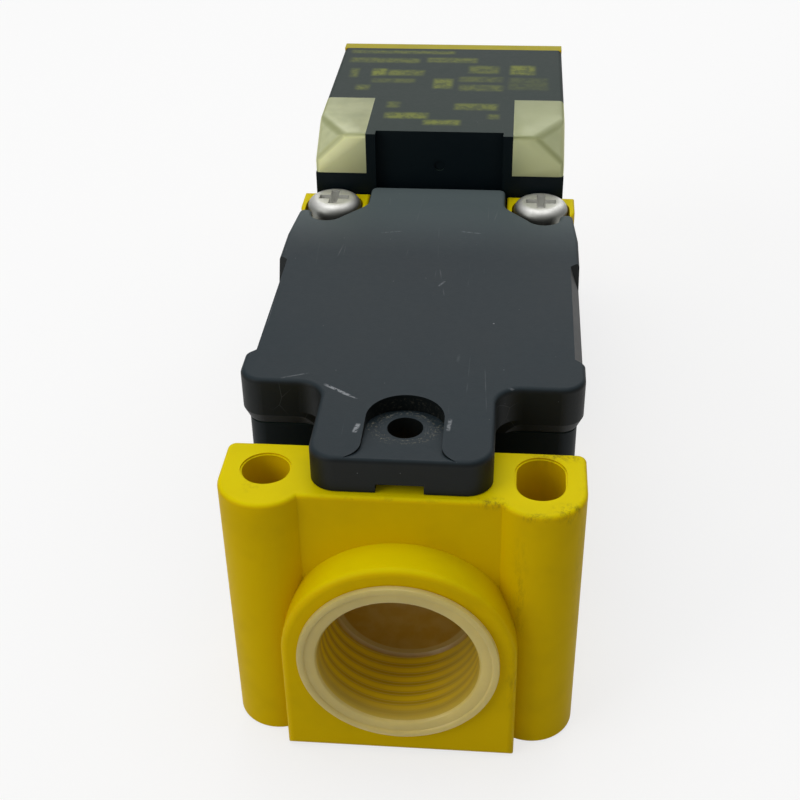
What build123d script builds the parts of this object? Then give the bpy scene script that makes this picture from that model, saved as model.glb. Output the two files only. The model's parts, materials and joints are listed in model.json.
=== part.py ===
"""Inductive proximity sensor with a terminal chamber.

A yellow base carries a black wiring chamber with a lift-off cover, a screwed
cable entry closed by a plug, and a sensing head at the far end. Millimetres,
+Z up, +Y from the cable entry to the active face. The origin is at the bottom,
in the middle of the whole length and width.
"""
from build123d import *
import math
import os

# Overall size
BODY_WIDTH = 40.0          # across base and cover
HEAD_WIDTH = 36.4          # across head and active face
FACE_TO_FACE = 114.0       # entry boss face to active face
HEAD_TOP = 46.0            # top of the sensing head above the mounting face
ACTIVE_SIDE = 40.0         # height of the active face
PLUG_FLANGE = 0.8          # plug flange standing proud of the entry boss

# Stations along the length, counted from the boss face
BOSS_Y = -(FACE_TO_FACE - PLUG_FLANGE) / 2
FAR_Y = BOSS_Y + FACE_TO_FACE
BOSS_DEPTH = 4.6
WALL_Y = BOSS_Y + BOSS_DEPTH
BLOCK_LENGTH = 14.0
BLOCK_BACK_Y = BOSS_Y + BLOCK_LENGTH
HEAD_SETBACK = 73.6
HEAD_Y = BOSS_Y + HEAD_SETBACK
END_GAP = 0.3              # base and chamber to the head

# Fixing holes, 30 x 60 pattern in the middle of the end columns
COLUMN_R = 5.0
HOLE_SETBACK = 9.2
HOLE_PITCH_Y = 60.0
HOLE_X = BODY_WIDTH / 2 - COLUMN_R
HOLE_Y = BOSS_Y + HOLE_SETBACK
REAR_HOLE_Y = HOLE_Y + HOLE_PITCH_Y
HOLE_R = 2.65
SLOT_LENGTH = 7.3
HOLE_EDGE = 0.2

# End block of the base
BLOCK_TOP = 33.6
COLUMN_BULGE = 2.1         # column standing out in front of the flat wall
COLUMN_Y = WALL_Y - COLUMN_BULGE + COLUMN_R
BLOCK_EDGE = 0.5
BLOCK_CORNER = 1.0
BOSS_R = 13.2
BOSS_EDGE = 0.8
ENTRY_Z = 14.4             # height of the cable entry axis
ENTRY_R = 10.0             # M20 x 1.5, nominal radius

# Base floor, rails and rear columns
FLOOR = 3.0
RAIL_TOP = 7.0
REAR_COLUMN_TOP = 36.8
REAR_COLUMN_R = 4.9        # half width
REAR_COLUMN_FRONT = 4.0    # column in front of its screw axis
REAR_COLUMN_CORNER = 4.0
WEB_THICK = 1.4
WEB_TOP = 31.4
WEB_FRONT = 1.0            # web in front of the screw axis

# Head fixing screws, pan head with cross recess
SCREW_R = 1.95
SCREW_HEAD_R = 3.9
SCREW_HEAD_H = 2.9
SCREW_HEAD_ROUND = 1.45
SCREW_SEAT_DEPTH = 1.7
SCREW_SEAT_Z = REAR_COLUMN_TOP - SCREW_SEAT_DEPTH
SCREW_TIP_Z = 2.0
SCREW_HOLE_R = 2.25
SEAT_CLEAR = 0.25
CROSS_DEPTH = 1.75
CROSS_LENGTH = 4.3
CROSS_WIDTH = 1.25
CROSS_TAPER = 8.0
RUN_CLEAR = 0.05           # radial running clearance of turned pieces

# Cover
COVER_TOP = 38.0
COVER_SKIRT_Z = 31.8
COVER_ROOF = 2.8
COVER_SKIRT = 1.1
SKIRT_CHAMFER = 0.6
SKIRT_CHAMFER_H = 1.3
COVER_EDGE = 0.6
COVER_GAP = 0.1            # cover resting height above the end block
TONGUE_HALF = 9.9
TONGUE_SETBACK = 5.5
TONGUE_CORNER = 3.0
SHOULDER_SETBACK = 20.0
SHOULDER_CORNER = 2.8
SIDE_SCOOP = 1.2           # depth of the finger recess in each long side
SCOOP_FRONT = 26.6
SCOOP_BACK = 49.6
SCOOP_HEIGHT = 3.4
SCOOP_RUN_OUT = 3.0
BAY_CLEAR = 0.2            # cover to the rear columns, measured across
COVER_HEAD_GAP = 0.4
HORN_INSET = 0.6           # narrow end of the cover outside each notch
HORN_WIDTH = 1.7
HORN_BACK = 4.0            # in front of the rear screws, as the next two
HORN_R = 0.75
NOTCH_FLOOR_BACK = 10.4
NOTCH_INNER_BACK = 1.8
NOTCH_FLOOR_OUT = 1.9      # deepest place of the notch, outside the rear screws
NOTCH_FLOOR_R = 2.2
BAY_CORNER_R = 1.0
SIDE_TAPER_BACK = 11.6
RIB_THICK = 1.0
RIB_DEPTH = 1.2

# Cover screw place; its screw is absent
POCKET_SETBACK = 13.6
POCKET_Y = BOSS_Y + POCKET_SETBACK
POCKET_R = 4.35
POCKET_DEPTH = 2.1
POCKET_FLARE = 3.0
COVER_HOLE_R = 2.0
SEAT_RING_R = 3.1
SEAT_RING_DROP = 1.45
PRY_HALF = 2.6
PRY_HEIGHT = 1.1
PRY_DEPTH = 2.5
COVER_INSERT_R = 2.6
COVER_INSERT_BORE_R = 1.5
COVER_INSERT_LENGTH = 6.5
INSERT_BOSS_R = 4.4

# Wiring chamber
CHAMBER_RIM = 34.0
CHAMBER_WALL = 1.6
CHAMBER_FLOOR = 1.6
CHAMBER_CLEAR = 0.3
CHAMBER_STEP = 0.7         # rim standing back from the wall, under the cover skirt
CHAMBER_Z = FLOOR
TUNNEL_R = 11.0
PASSAGE_R = 9.3
GASKET_CLEAR = 0.05
GASKET_WIDTH = 1.2

# Entry plug
PLUG_FLANGE_R = 11.3
PLUG_CLEAR = 0.1
PLUG_WALL = 0.95
PLUG_STEM = 11.0
PLUG_BOTTOM = 1.2

# Sensing head
HEAD_WALL = 2.2
FOOT_TOP = HEAD_TOP - ACTIVE_SIDE
FOOT_SETBACK = 0.8
CAP_THICK = 3.0
HEAD_EDGE = 0.8
CAP_EDGE = 0.9
RECESS_RIB = 1.4           # wall left between recess and window
RECESS_DEPTH = 1.4
RECESS_HEIGHT = 15.0
DIMPLE_R = 0.8
DIMPLE_DEPTH = 0.3
DIMPLE_DROP = 5.3
WINDOW_WIDTH = 7.5
WINDOW_LENGTH = 14.4
WINDOW_HEIGHT = 6.1
WINDOW_WALL = 1.6
FACET_X = 4.2
FACET_Y = 7.0
FACET_Z = 4.0
OVERCUT = 4.0              # cutting solid past the faces it opens
LUG_TOP = 6.6
LUG_INSERT_R = 2.9
LUG_INSERT_LENGTH = 5.0
POST_R = 2.0
POST_LENGTH = 6.0
POST_GAP = 1.2

# Sensing coil and core
CORE_CLEAR = 0.8
CORE_DEPTH = 10.6
CORE_CENTRE_R = 7.0
CORE_RIM = 3.4
CORE_GROOVE_DEPTH = 7.6
CORE_HOLE_R = 2.7
FORMER_WALL = 0.6
FORMER_CLEAR = 0.2
LEAD_R = 0.3
LEAD_X = 1.2

# Circuit board
BOARD_THICK = 1.6
BOARD_GAP = 2.6            # head rear wall to the board
BOARD_NOTCH_X = 2.0
BOARD_NOTCH_Z = 3.0
LED_R = 1.5
LED_LENGTH = 2.2
LED_INSET = 6.0
LED_DROP = 4.6
FLAT_COMPONENTS = (        # x, z, width, height on the board, thickness; z from the face centre
    (0.0, 6.0, 10.0, 4.0, 1.8),
    (10.0, -9.0, 6.0, 10.0, 4.4),
    (-10.5, -0.5, 5.0, 5.0, 2.6),
    (-11.0, 9.0, 4.0, 4.0, 2.4),
)
ROUND_COMPONENTS = (       # x, z, radius, length
    (-9.5, -10.0, 3.0, 8.0),
    (10.0, 8.0, 2.5, 6.0),
)

# Contacts between head and chamber
POLES = 4
PIN_R = 0.6
PIN_RISE = 2.3             # pin axis above the floor inside the head
PIN_REACH = 6.5
SOCKET_WALL = 0.4
SOCKET_LENGTH = 6.6
SOCKET_END = 0.8
CARRIER_RISE = 5.6
CARRIER_EDGE = 0.3
SEAL_WIDTH = 1.4
SEAL_HEIGHT = 9.0

# Terminals
POLE_PITCH = 7.0
BLOCK_SETBACK = 44.0
BLOCK_DEPTH = 11.4
BLOCK_WIDTH = 29.2
SHAFT_DEPTH = 4.0          # screw shaft above its diaphragm
RIB_RISE = 2.0
BAR_WIDTH = 1.4
PAD_WIDTH = 2.4            # clamping end of the bar
BAR_THICK = 0.8
BAR_BEND = 1.0             # straight run behind the block before the bend
BAR_LEAD = 2.0             # straight run into the socket
CAGE_WIDTH = 5.2
CAGE_DEPTH = 5.4
CAGE_WALL = 0.8
CAGE_HEAD = 1.2
CAGE_FLOOR = 1.4           # chamber floor to the lowered cage
CAGE_OPENING = 5.2
CAGE_TRAVEL = 3.0
CAGE_CLEAR = 0.2
TERMINAL_SCREW_R = 1.5
TERMINAL_HEAD_R = 2.6
TERMINAL_HEAD_H = 2.0
TERMINAL_HEAD_EDGE = 0.4
TERMINAL_SLOT = 0.7
DIAPHRAGM = 0.8
WIRE_HOLE_R = 2.0
FUNNEL_FLARE = 0.8
FUNNEL_DEPTH = 3.2

# Values worked out from the sizes above
HALF_WIDTH = BODY_WIDTH / 2
HEAD_HALF = HEAD_WIDTH / 2
BAY_HALF = HOLE_X - REAR_COLUMN_R - BAY_CLEAR
WINDOW_X = HEAD_HALF - WINDOW_WIDTH
RECESS_HALF = WINDOW_X - RECESS_RIB
RECESS_Z = HEAD_TOP - RECESS_HEIGHT
CORE_R = min(HEAD_WIDTH, ACTIVE_SIDE) / 2 - HEAD_WALL - CORE_CLEAR
CORE_GROOVE_R = CORE_R - CORE_RIM
POST_X = HEAD_HALF - HEAD_WALL - POST_GAP - POST_R
POST_Z = ACTIVE_SIDE / 2 - HEAD_WALL - POST_GAP - POST_R
LED_X = HEAD_HALF - LED_INSET
REAR_Y = HEAD_Y - END_GAP
TRAY_END_Y = REAR_HOLE_Y - REAR_COLUMN_FRONT - END_GAP
SHOULDER_Y = BOSS_Y + SHOULDER_SETBACK
TONGUE_Y = BOSS_Y + TONGUE_SETBACK
COVER_REAR_Y = HEAD_Y - COVER_HEAD_GAP
TONGUE_Z = BLOCK_TOP + COVER_GAP
ROOF_Z = COVER_TOP - COVER_ROOF
CHAMBER_INSET = COVER_SKIRT + CHAMBER_CLEAR
CHAMBER_FRONT_Y = SHOULDER_Y + CHAMBER_INSET
CHAMBER_BACK_Y = COVER_REAR_Y - CHAMBER_INSET
CHAMBER_BASE_Z = CHAMBER_Z + CHAMBER_FLOOR
FACE_Z = FOOT_TOP + ACTIVE_SIDE / 2
CAP_Y = FAR_Y - CAP_THICK
CAVITY_Y = HEAD_Y + RECESS_DEPTH + HEAD_WALL
CORE_Y = CAP_Y - CORE_DEPTH
BOARD_Y = CAVITY_Y + BOARD_GAP
WINDOW_Z = HEAD_TOP - WINDOW_HEIGHT
INSERT_TOP_Z = BLOCK_TOP - COVER_GAP
POLE_Y = BOSS_Y + BLOCK_SETBACK + BLOCK_DEPTH / 2
HEAD_PIN_Z = FOOT_TOP + HEAD_WALL + PIN_RISE
CAGE_PIN_Z = CHAMBER_BASE_Z + CAGE_FLOOR + CAGE_WALL + CAGE_OPENING - CAGE_CLEAR - BAR_THICK / 2
PIN_Z = max(HEAD_PIN_Z, CAGE_PIN_Z)
BAR_Z = PIN_Z - BAR_THICK / 2
CAGE_TOP_Z = BAR_Z + BAR_THICK + CAGE_CLEAR
CAGE_POCKET_Z = CAGE_TOP_Z + CAGE_HEAD + CAGE_TRAVEL + CAGE_CLEAR
BLOCK_ROOF_Z = CAGE_POCKET_Z + DIAPHRAGM + SHAFT_DEPTH
SOCKET_R = PIN_R + RUN_CLEAR + SOCKET_WALL
CARRIER_HALF = BAY_HALF - CHAMBER_INSET - CHAMBER_WALL - CHAMBER_CLEAR
PIN_PITCH = 2 * (CARRIER_HALF - CARRIER_EDGE - SOCKET_R) / (POLES - 1)
SOCKET_BACK_Y = CHAMBER_BACK_Y - CHAMBER_WALL
SOCKET_FRONT_Y = SOCKET_BACK_Y - SOCKET_LENGTH


def slab(x0, x1, y0, y1, z0, z1):
    """Block between two corners."""
    return Pos((x0 + x1) / 2, (y0 + y1) / 2, (z0 + z1) / 2) * Box(x1 - x0, y1 - y0, z1 - z0)


def post(radius, z0, z1, x=0.0, y=0.0):
    """Round bar standing along Z."""
    return Pos(x, y, (z0 + z1) / 2) * Cylinder(radius, z1 - z0)


def rod(radius, y0, y1, x=0.0, z=0.0):
    """Round bar lying along Y."""
    return Pos(x, (y0 + y1) / 2, z) * Rot(90, 0, 0) * Cylinder(radius, y1 - y0)


def prism(sketch, z0, z1):
    """Plan outline raised between two heights."""
    return Pos(0, 0, z0) * extrude(sketch, z1 - z0)


def flat(x0, x1, y0, y1):
    """Rectangle in plan between two corners."""
    return Pos((x0 + x1) / 2, (y0 + y1) / 2) * Rectangle(x1 - x0, y1 - y0)


def group(shapes):
    """Separate solids kept together as one piece."""
    return Compound(children=[Solid(s.solid().wrapped) for s in shapes])


def pole_places():
    """X place of each terminal."""
    return [(i - (POLES - 1) / 2) * POLE_PITCH for i in range(POLES)]


def pin_places():
    """X place of each contact pin."""
    return [(i - (POLES - 1) / 2) * PIN_PITCH for i in range(POLES)]


def column_outline(side):
    """Plan of a front column: a half circle running back to a flat."""
    x = side * HOLE_X
    nose = Pos(x, COLUMN_Y) * Circle(COLUMN_R)
    tail = flat(min(x, x + side * COLUMN_R), max(x, x + side * COLUMN_R), COLUMN_Y, BLOCK_BACK_Y)
    return (nose + tail) & flat(x - COLUMN_R, x + COLUMN_R, COLUMN_Y - COLUMN_R, BLOCK_BACK_Y)


def rear_outline(side, inset, back_y):
    """Plan of a rear column with round front corners, or of a piece inside it by the inset."""
    half = REAR_COLUMN_R - inset
    front = REAR_HOLE_Y - REAR_COLUMN_FRONT + inset
    plan = flat(side * HOLE_X - half, side * HOLE_X + half, front, back_y)
    corners = [v for v in plan.vertices() if v.Y < front + inset + RUN_CLEAR]
    return fillet(corners, REAR_COLUMN_CORNER - inset)


def block_outline():
    """Plan of the end block: flat wall between two round columns."""
    wall = flat(-HOLE_X, HOLE_X, WALL_Y, BLOCK_BACK_Y)
    columns = [column_outline(s) for s in (-1, 1)]
    plan = wall + columns[0] + columns[1]
    back = [v for v in plan.vertices() if v.Y > BLOCK_BACK_Y - BLOCK_CORNER]
    return fillet([v for v in back if abs(v.X) > HOLE_X + COLUMN_R / 2], BLOCK_CORNER)


def entry_boss():
    """Arched boss round the cable entry, flat at the bottom."""
    arch = Pos(0, ENTRY_Z) * Circle(BOSS_R) + flat(-BOSS_R, BOSS_R, 0, ENTRY_Z)
    arch = arch & flat(-BOSS_R, BOSS_R, 0, ENTRY_Z + BOSS_R)
    body = Pos(0, WALL_Y + COLUMN_R, 0) * Rot(90, 0, 0) * extrude(arch, WALL_Y + COLUMN_R - BOSS_Y)
    front = body.faces().sort_by(Axis.Y)[0]
    return fillet(front.edges(), BOSS_EDGE)


def fixing_cut(side):
    """Round hole on the left, slot on the right, eased at both ends."""
    half = 0 if side < 0 else SLOT_LENGTH / 2 - HOLE_R
    x = side * HOLE_X
    upper_edge = BLOCK_TOP - HOLE_EDGE
    cut = None
    for radius, z0, z1 in (
        (HOLE_R, 0, BLOCK_TOP),
        (HOLE_R + HOLE_EDGE, 0, HOLE_EDGE),
        (HOLE_R + HOLE_EDGE, upper_edge, BLOCK_TOP),
    ):
        shape = post(radius, z0, z1, x, HOLE_Y - half)
        if half:
            shape += post(radius, z0, z1, x, HOLE_Y + half)
            shape += slab(x - radius, x + radius, HOLE_Y - half, HOLE_Y + half, z0, z1)
        cut = shape if cut is None else cut + shape
    return cut


def rear_column(side):
    """Column for one head fixing screw, its seat open to the front, with room below for the head lug."""
    column = prism(rear_outline(side, 0, REAR_Y), LUG_TOP + COVER_GAP, REAR_COLUMN_TOP)
    column = fillet(column.faces().sort_by(Axis.Z)[-1].edges(), BLOCK_EDGE)
    inner = HOLE_X - REAR_COLUMN_R
    outer_web = max(side * inner, side * (inner - WEB_THICK))
    inner_web = min(side * inner, side * (inner - WEB_THICK))
    web = slab(inner_web, outer_web, REAR_HOLE_Y - WEB_FRONT, REAR_Y, 0, WEB_TOP)
    x = side * HOLE_X
    column += web
    column -= post(SCREW_HOLE_R, 0, REAR_COLUMN_TOP, x, REAR_HOLE_Y)
    seat_r = SCREW_HEAD_R + SEAT_CLEAR
    column -= post(seat_r, SCREW_SEAT_Z, REAR_COLUMN_TOP, x, REAR_HOLE_Y)
    front = REAR_HOLE_Y - REAR_COLUMN_FRONT
    column -= slab(x - seat_r, x + seat_r, front, REAR_HOLE_Y, SCREW_SEAT_Z, REAR_COLUMN_TOP)
    return column


def terminal_base():
    """Yellow base: end block, cable entry, floor, rails and rear columns."""
    block = prism(block_outline(), 0, BLOCK_TOP)
    block = fillet(block.faces().sort_by(Axis.Z)[-1].edges(), BLOCK_EDGE)
    base = block + entry_boss()
    base += slab(-HALF_WIDTH, HALF_WIDTH, BLOCK_BACK_Y - BLOCK_CORNER, TRAY_END_Y, 0, FLOOR)
    web_x = HOLE_X - REAR_COLUMN_R
    base += slab(-web_x, web_x, TRAY_END_Y, REAR_Y, 0, FLOOR)
    for side in (-1, 1):
        rail = sorted((side * HALF_WIDTH, side * (HALF_WIDTH - CHAMBER_INSET + CHAMBER_CLEAR)))
        base += slab(rail[0], rail[1], BLOCK_BACK_Y - BLOCK_CORNER, TRAY_END_Y, 0, RAIL_TOP)
        base += rear_column(side)
        base -= fixing_cut(side)
    base += post(INSERT_BOSS_R, ENTRY_Z + TUNNEL_R + END_GAP, BLOCK_TOP, 0, POCKET_Y)
    base -= rod(ENTRY_R, BOSS_Y, BLOCK_BACK_Y, 0, ENTRY_Z)
    base -= post(COVER_INSERT_R, INSERT_TOP_Z - COVER_INSERT_LENGTH, BLOCK_TOP, 0, POCKET_Y)
    return base


def cover_outline():
    """Plan of the cover: tongue, shoulders, long sides and the bay between the rear screws."""
    right = [
        (TONGUE_HALF, TONGUE_Y, TONGUE_CORNER),
        (TONGUE_HALF, SHOULDER_Y, TONGUE_CORNER),
        (HALF_WIDTH, SHOULDER_Y, SHOULDER_CORNER),
        (HALF_WIDTH, REAR_HOLE_Y - SIDE_TAPER_BACK, TONGUE_CORNER),
        (HALF_WIDTH - HORN_INSET, REAR_HOLE_Y - HORN_BACK, HORN_R),
        (HALF_WIDTH - HORN_INSET - HORN_WIDTH, REAR_HOLE_Y - HORN_BACK, HORN_R),
        (HOLE_X + NOTCH_FLOOR_OUT, REAR_HOLE_Y - NOTCH_FLOOR_BACK, NOTCH_FLOOR_R),
        (BAY_HALF, REAR_HOLE_Y - NOTCH_INNER_BACK, TONGUE_CORNER),
        (BAY_HALF, COVER_REAR_Y, BAY_CORNER_R),
    ]
    left = [(-x, y, r) for x, y, r in reversed(right)]
    corners = right + left
    line = FilletPolyline(*[(x, y) for x, y, r in corners], radius=[r for x, y, r in corners], close=True)
    return make_face(line)


def chamber_outline(inset):
    """Plan of the chamber, inside the cover outline by the given inset."""
    plan = offset(cover_outline(), -inset)
    front = SHOULDER_Y + inset
    return plan & flat(-BODY_WIDTH, BODY_WIDTH, front, FAR_Y)


def side_scoop(side):
    """Sloped finger recess in one long side of the cover."""
    x_in = HALF_WIDTH - SIDE_SCOOP
    x_out = x_in + SCOOP_RUN_OUT
    front = BOSS_Y + SCOOP_FRONT
    back = BOSS_Y + SCOOP_BACK
    corners = [(x_in, front), (x_out, front - SCOOP_RUN_OUT), (x_out, back + SCOOP_RUN_OUT), (x_in, back)]
    plan = make_face(Polyline(*[(side * x, y) for x, y in corners], close=True))
    angle = math.degrees(math.atan(SIDE_SCOOP / SCOOP_HEIGHT))
    return Pos(0, 0, COVER_TOP) * extrude(plan, SCOOP_HEIGHT, dir=(0, 0, -1), taper=angle)


def screw_pocket():
    """Pocket for the cover screw: a U open to the front, its floor rising to the front edge."""
    plan = Pos(0, POCKET_Y) * Circle(POCKET_R)
    plan += flat(-POCKET_R, POCKET_R, TONGUE_Y, POCKET_Y)
    mouth = POCKET_R + POCKET_FLARE
    flare = flat(-mouth, mouth, TONGUE_Y, TONGUE_Y + POCKET_FLARE)
    for side in (-1, 1):
        flare -= Pos(side * mouth, TONGUE_Y + POCKET_FLARE) * Circle(POCKET_FLARE)
    plan += flare
    above = COVER_TOP + POCKET_DEPTH
    column = prism(plan, TONGUE_Z, above)
    back = POCKET_Y + POCKET_R
    corners = [(TONGUE_Y, COVER_TOP), (back, COVER_TOP - POCKET_DEPTH), (back, above), (TONGUE_Y, above)]
    slope = make_face(Polyline(*corners, close=True))
    return column & extrude(Plane.YZ * slope, HALF_WIDTH, both=True)


def terminal_cover():
    """Slate cover with tongue, skirt, finger recesses and the pocket for its screw."""
    waist = COVER_SKIRT_Z + SKIRT_CHAMFER_H
    cover = prism(cover_outline(), waist, COVER_TOP)
    cover = fillet(cover.faces().sort_by(Axis.Z)[-1].edges(), COVER_EDGE)
    lean = math.degrees(math.atan(SKIRT_CHAMFER / SKIRT_CHAMFER_H))
    cover += Pos(0, 0, waist) * extrude(cover_outline(), SKIRT_CHAMFER_H, dir=(0, 0, -1), taper=lean)
    cover -= slab(-HALF_WIDTH, HALF_WIDTH, BOSS_Y, SHOULDER_Y, 0, TONGUE_Z)
    cover -= prism(chamber_outline(COVER_SKIRT), COVER_SKIRT_Z, ROOF_Z)
    for side in (-1, 1):
        cover -= side_scoop(side)
        rib_x = side * BAY_HALF / 2
        cover += slab(rib_x - RIB_THICK / 2, rib_x + RIB_THICK / 2, CHAMBER_FRONT_Y + CHAMBER_WALL * 2,
                      CHAMBER_BACK_Y - CHAMBER_WALL * 2, ROOF_Z - RIB_DEPTH, ROOF_Z)
    cover -= screw_pocket()
    seat_z = COVER_TOP - SEAT_RING_DROP
    cover -= post(SEAT_RING_R, seat_z, COVER_TOP, 0, POCKET_Y)
    cover += post(SEAT_RING_R, TONGUE_Z, seat_z, 0, POCKET_Y)
    cover -= post(COVER_HOLE_R, TONGUE_Z, COVER_TOP, 0, POCKET_Y)
    cover -= slab(-PRY_HALF, PRY_HALF, TONGUE_Y, TONGUE_Y + PRY_DEPTH, TONGUE_Z, TONGUE_Z + PRY_HEIGHT)
    return cover


def terminal_housing():
    """Black wiring chamber, open at the top, with a round tunnel to the cable entry."""
    shoulder_z = COVER_SKIRT_Z - CHAMBER_CLEAR
    walls = prism(chamber_outline(CHAMBER_INSET), CHAMBER_Z, CHAMBER_RIM)
    band_end = REAR_HOLE_Y - NOTCH_FLOOR_BACK
    band = chamber_outline(CHAMBER_INSET - CHAMBER_STEP) & flat(-BODY_WIDTH, BODY_WIDTH, BOSS_Y, band_end)
    walls += prism(band, RAIL_TOP + CHAMBER_CLEAR, shoulder_z)
    walls += rod(TUNNEL_R, BLOCK_BACK_Y, CHAMBER_FRONT_Y + CHAMBER_WALL, 0, ENTRY_Z)
    walls -= prism(chamber_outline(CHAMBER_INSET + CHAMBER_WALL), CHAMBER_BASE_Z, CHAMBER_RIM)
    walls -= rod(PASSAGE_R, BLOCK_BACK_Y, CHAMBER_FRONT_Y + CHAMBER_WALL, 0, ENTRY_Z)
    for x in pin_places():
        walls -= rod(PIN_R + CHAMBER_CLEAR, SOCKET_BACK_Y, CHAMBER_BACK_Y, x, PIN_Z)
    return walls


def cover_gasket():
    """Flat seal on the chamber rim."""
    middle = CHAMBER_INSET + CHAMBER_WALL / 2
    outer = chamber_outline(middle - GASKET_WIDTH / 2)
    inner = chamber_outline(middle + GASKET_WIDTH / 2)
    return prism(outer - inner, CHAMBER_RIM, ROOF_Z - GASKET_CLEAR)


def cover_screw_insert():
    """Brass insert that the cover screw would go into."""
    top = INSERT_TOP_Z
    sleeve = post(COVER_INSERT_R, top - COVER_INSERT_LENGTH, top, 0, POCKET_Y)
    return sleeve - post(COVER_INSERT_BORE_R, top - COVER_INSERT_LENGTH, top, 0, POCKET_Y)


def entry_plug():
    """Cup-shaped blanking plug with a flange on the boss face."""
    stem_r = ENTRY_R - PLUG_CLEAR
    inner_r = stem_r - PLUG_WALL
    flange = rod(PLUG_FLANGE_R, BOSS_Y - PLUG_FLANGE, BOSS_Y, 0, ENTRY_Z)
    rim = flange.faces().sort_by(Axis.Y)[0].edges()
    plug = fillet(rim, PLUG_FLANGE / 3)
    plug += rod(stem_r, BOSS_Y, BOSS_Y + PLUG_STEM, 0, ENTRY_Z)
    return plug - rod(inner_r, BOSS_Y - PLUG_FLANGE, BOSS_Y + PLUG_STEM - PLUG_BOTTOM, 0, ENTRY_Z)


def cross_recess(x, y, top):
    """Cross-shaped driver recess, wide at the top and narrow at the bottom."""
    arms = []
    for turn in (0, 90):
        arm = Rot(0, 0, turn) * Rectangle(CROSS_LENGTH, CROSS_WIDTH)
        arms.append(Pos(x, y, top) * extrude(arm, CROSS_DEPTH, dir=(0, 0, -1), taper=CROSS_TAPER))
    return arms[0] + arms[1]


def head_screw(side):
    """Pan-head screw from the rear column down into the head lug."""
    x = side * HOLE_X
    seat = SCREW_SEAT_Z + RUN_CLEAR
    top = seat + SCREW_HEAD_H
    head = post(SCREW_HEAD_R, seat, top, x, REAR_HOLE_Y)
    head = fillet(head.faces().sort_by(Axis.Z)[-1].edges(), SCREW_HEAD_ROUND)
    shank = post(SCREW_R, SCREW_TIP_Z, seat, x, REAR_HOLE_Y)
    return head + shank - cross_recess(x, REAR_HOLE_Y, top)


def head_screw_inserts():
    """Two brass inserts in the head lugs."""
    sleeves = []
    for side in (-1, 1):
        x = side * HOLE_X
        bottom = LUG_TOP - LUG_INSERT_LENGTH
        sleeve = post(LUG_INSERT_R, bottom, LUG_TOP, x, REAR_HOLE_Y)
        sleeves.append(sleeve - post(SCREW_R + RUN_CLEAR, bottom, LUG_TOP, x, REAR_HOLE_Y))
    return group(sleeves)


def corner_block(side, inset):
    """Head corner behind an LED window, with its outer corner cut to a facet."""
    reach = OVERCUT if inset else 0.0
    xs = sorted((side * (WINDOW_X - reach), side * (HEAD_HALF - inset)))
    y_end = HEAD_Y + WINDOW_LENGTH + reach
    block = slab(xs[0], xs[1], HEAD_Y + inset, y_end, WINDOW_Z - reach, HEAD_TOP - inset)
    corner = Vector(side * HEAD_HALF, HEAD_Y, HEAD_TOP)
    on_x = corner - Vector(side * FACET_X, 0, 0)
    on_y = corner + Vector(0, FACET_Y, 0)
    on_z = corner - Vector(0, 0, FACET_Z)
    normal = (on_y - on_x).cross(on_z - on_x).normalized()
    if normal.dot(corner - on_x) < 0:
        normal = -normal
    cut_plane = Plane(origin=on_x - normal * inset, z_dir=normal)
    return split(block, cut_plane, keep=Keep.BOTTOM)


def led_window(side):
    """Translucent corner window of the head."""
    return corner_block(side, 0) - corner_block(side, WINDOW_WALL)


def head_lug(side):
    """Foot of the head under one rear column."""
    lug = prism(rear_outline(side, CHAMBER_CLEAR, HEAD_Y), 0, LUG_TOP)
    return lug - post(LUG_INSERT_R, LUG_TOP - LUG_INSERT_LENGTH, LUG_TOP, side * HOLE_X, REAR_HOLE_Y)


def head_housing():
    """Black shell of the sensing head with its foot, open at the active face."""
    shell = slab(-HEAD_HALF, HEAD_HALF, HEAD_Y, CAP_Y, 0, HEAD_TOP)
    shell = fillet(shell.edges().filter_by(Axis.Y), HEAD_EDGE)
    shell += slab(-HEAD_HALF, HEAD_HALF, CAP_Y - HEAD_WALL, FAR_Y - FOOT_SETBACK, 0, FOOT_TOP)
    inner = HEAD_HALF - HEAD_WALL
    shell -= slab(-inner, inner, CAVITY_Y, CAP_Y, FOOT_TOP + HEAD_WALL, HEAD_TOP - HEAD_WALL)
    shell -= slab(-RECESS_HALF, RECESS_HALF, HEAD_Y, HEAD_Y + RECESS_DEPTH, RECESS_Z, HEAD_TOP)
    shell -= rod(DIMPLE_R, HEAD_Y, HEAD_Y + RECESS_DEPTH + DIMPLE_DEPTH, 0, HEAD_TOP - DIMPLE_DROP)
    for side in (-1, 1):
        xs = sorted((side * WINDOW_X, side * HEAD_HALF))
        shell -= slab(xs[0], xs[1], HEAD_Y, HEAD_Y + WINDOW_LENGTH, WINDOW_Z, HEAD_TOP)
        shell += head_lug(side)
    for x in pin_places():
        shell -= rod(PIN_R, HEAD_Y, CAVITY_Y, x, PIN_Z)
    return shell


def active_face():
    """Yellow cap over the coil, with four posts that locate it in the head."""
    cap = slab(-HEAD_HALF, HEAD_HALF, CAP_Y, FAR_Y, FOOT_TOP, HEAD_TOP)
    cap = fillet(cap.faces().sort_by(Axis.Y)[-1].edges(), CAP_EDGE)
    for sx in (-1, 1):
        for sz in (-1, 1):
            cap += rod(POST_R, CAP_Y - POST_LENGTH, CAP_Y, sx * POST_X, FACE_Z + sz * POST_Z)
    return cap


def ferrite_core():
    """Half pot core, open towards the active face."""
    core = rod(CORE_R, CORE_Y, CAP_Y, 0, FACE_Z)
    groove = rod(CORE_GROOVE_R, CAP_Y - CORE_GROOVE_DEPTH, CAP_Y, 0, FACE_Z)
    groove -= rod(CORE_CENTRE_R, CAP_Y - CORE_GROOVE_DEPTH, CAP_Y, 0, FACE_Z)
    return core - groove - rod(CORE_HOLE_R, CORE_Y, CAP_Y, 0, FACE_Z)


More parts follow.
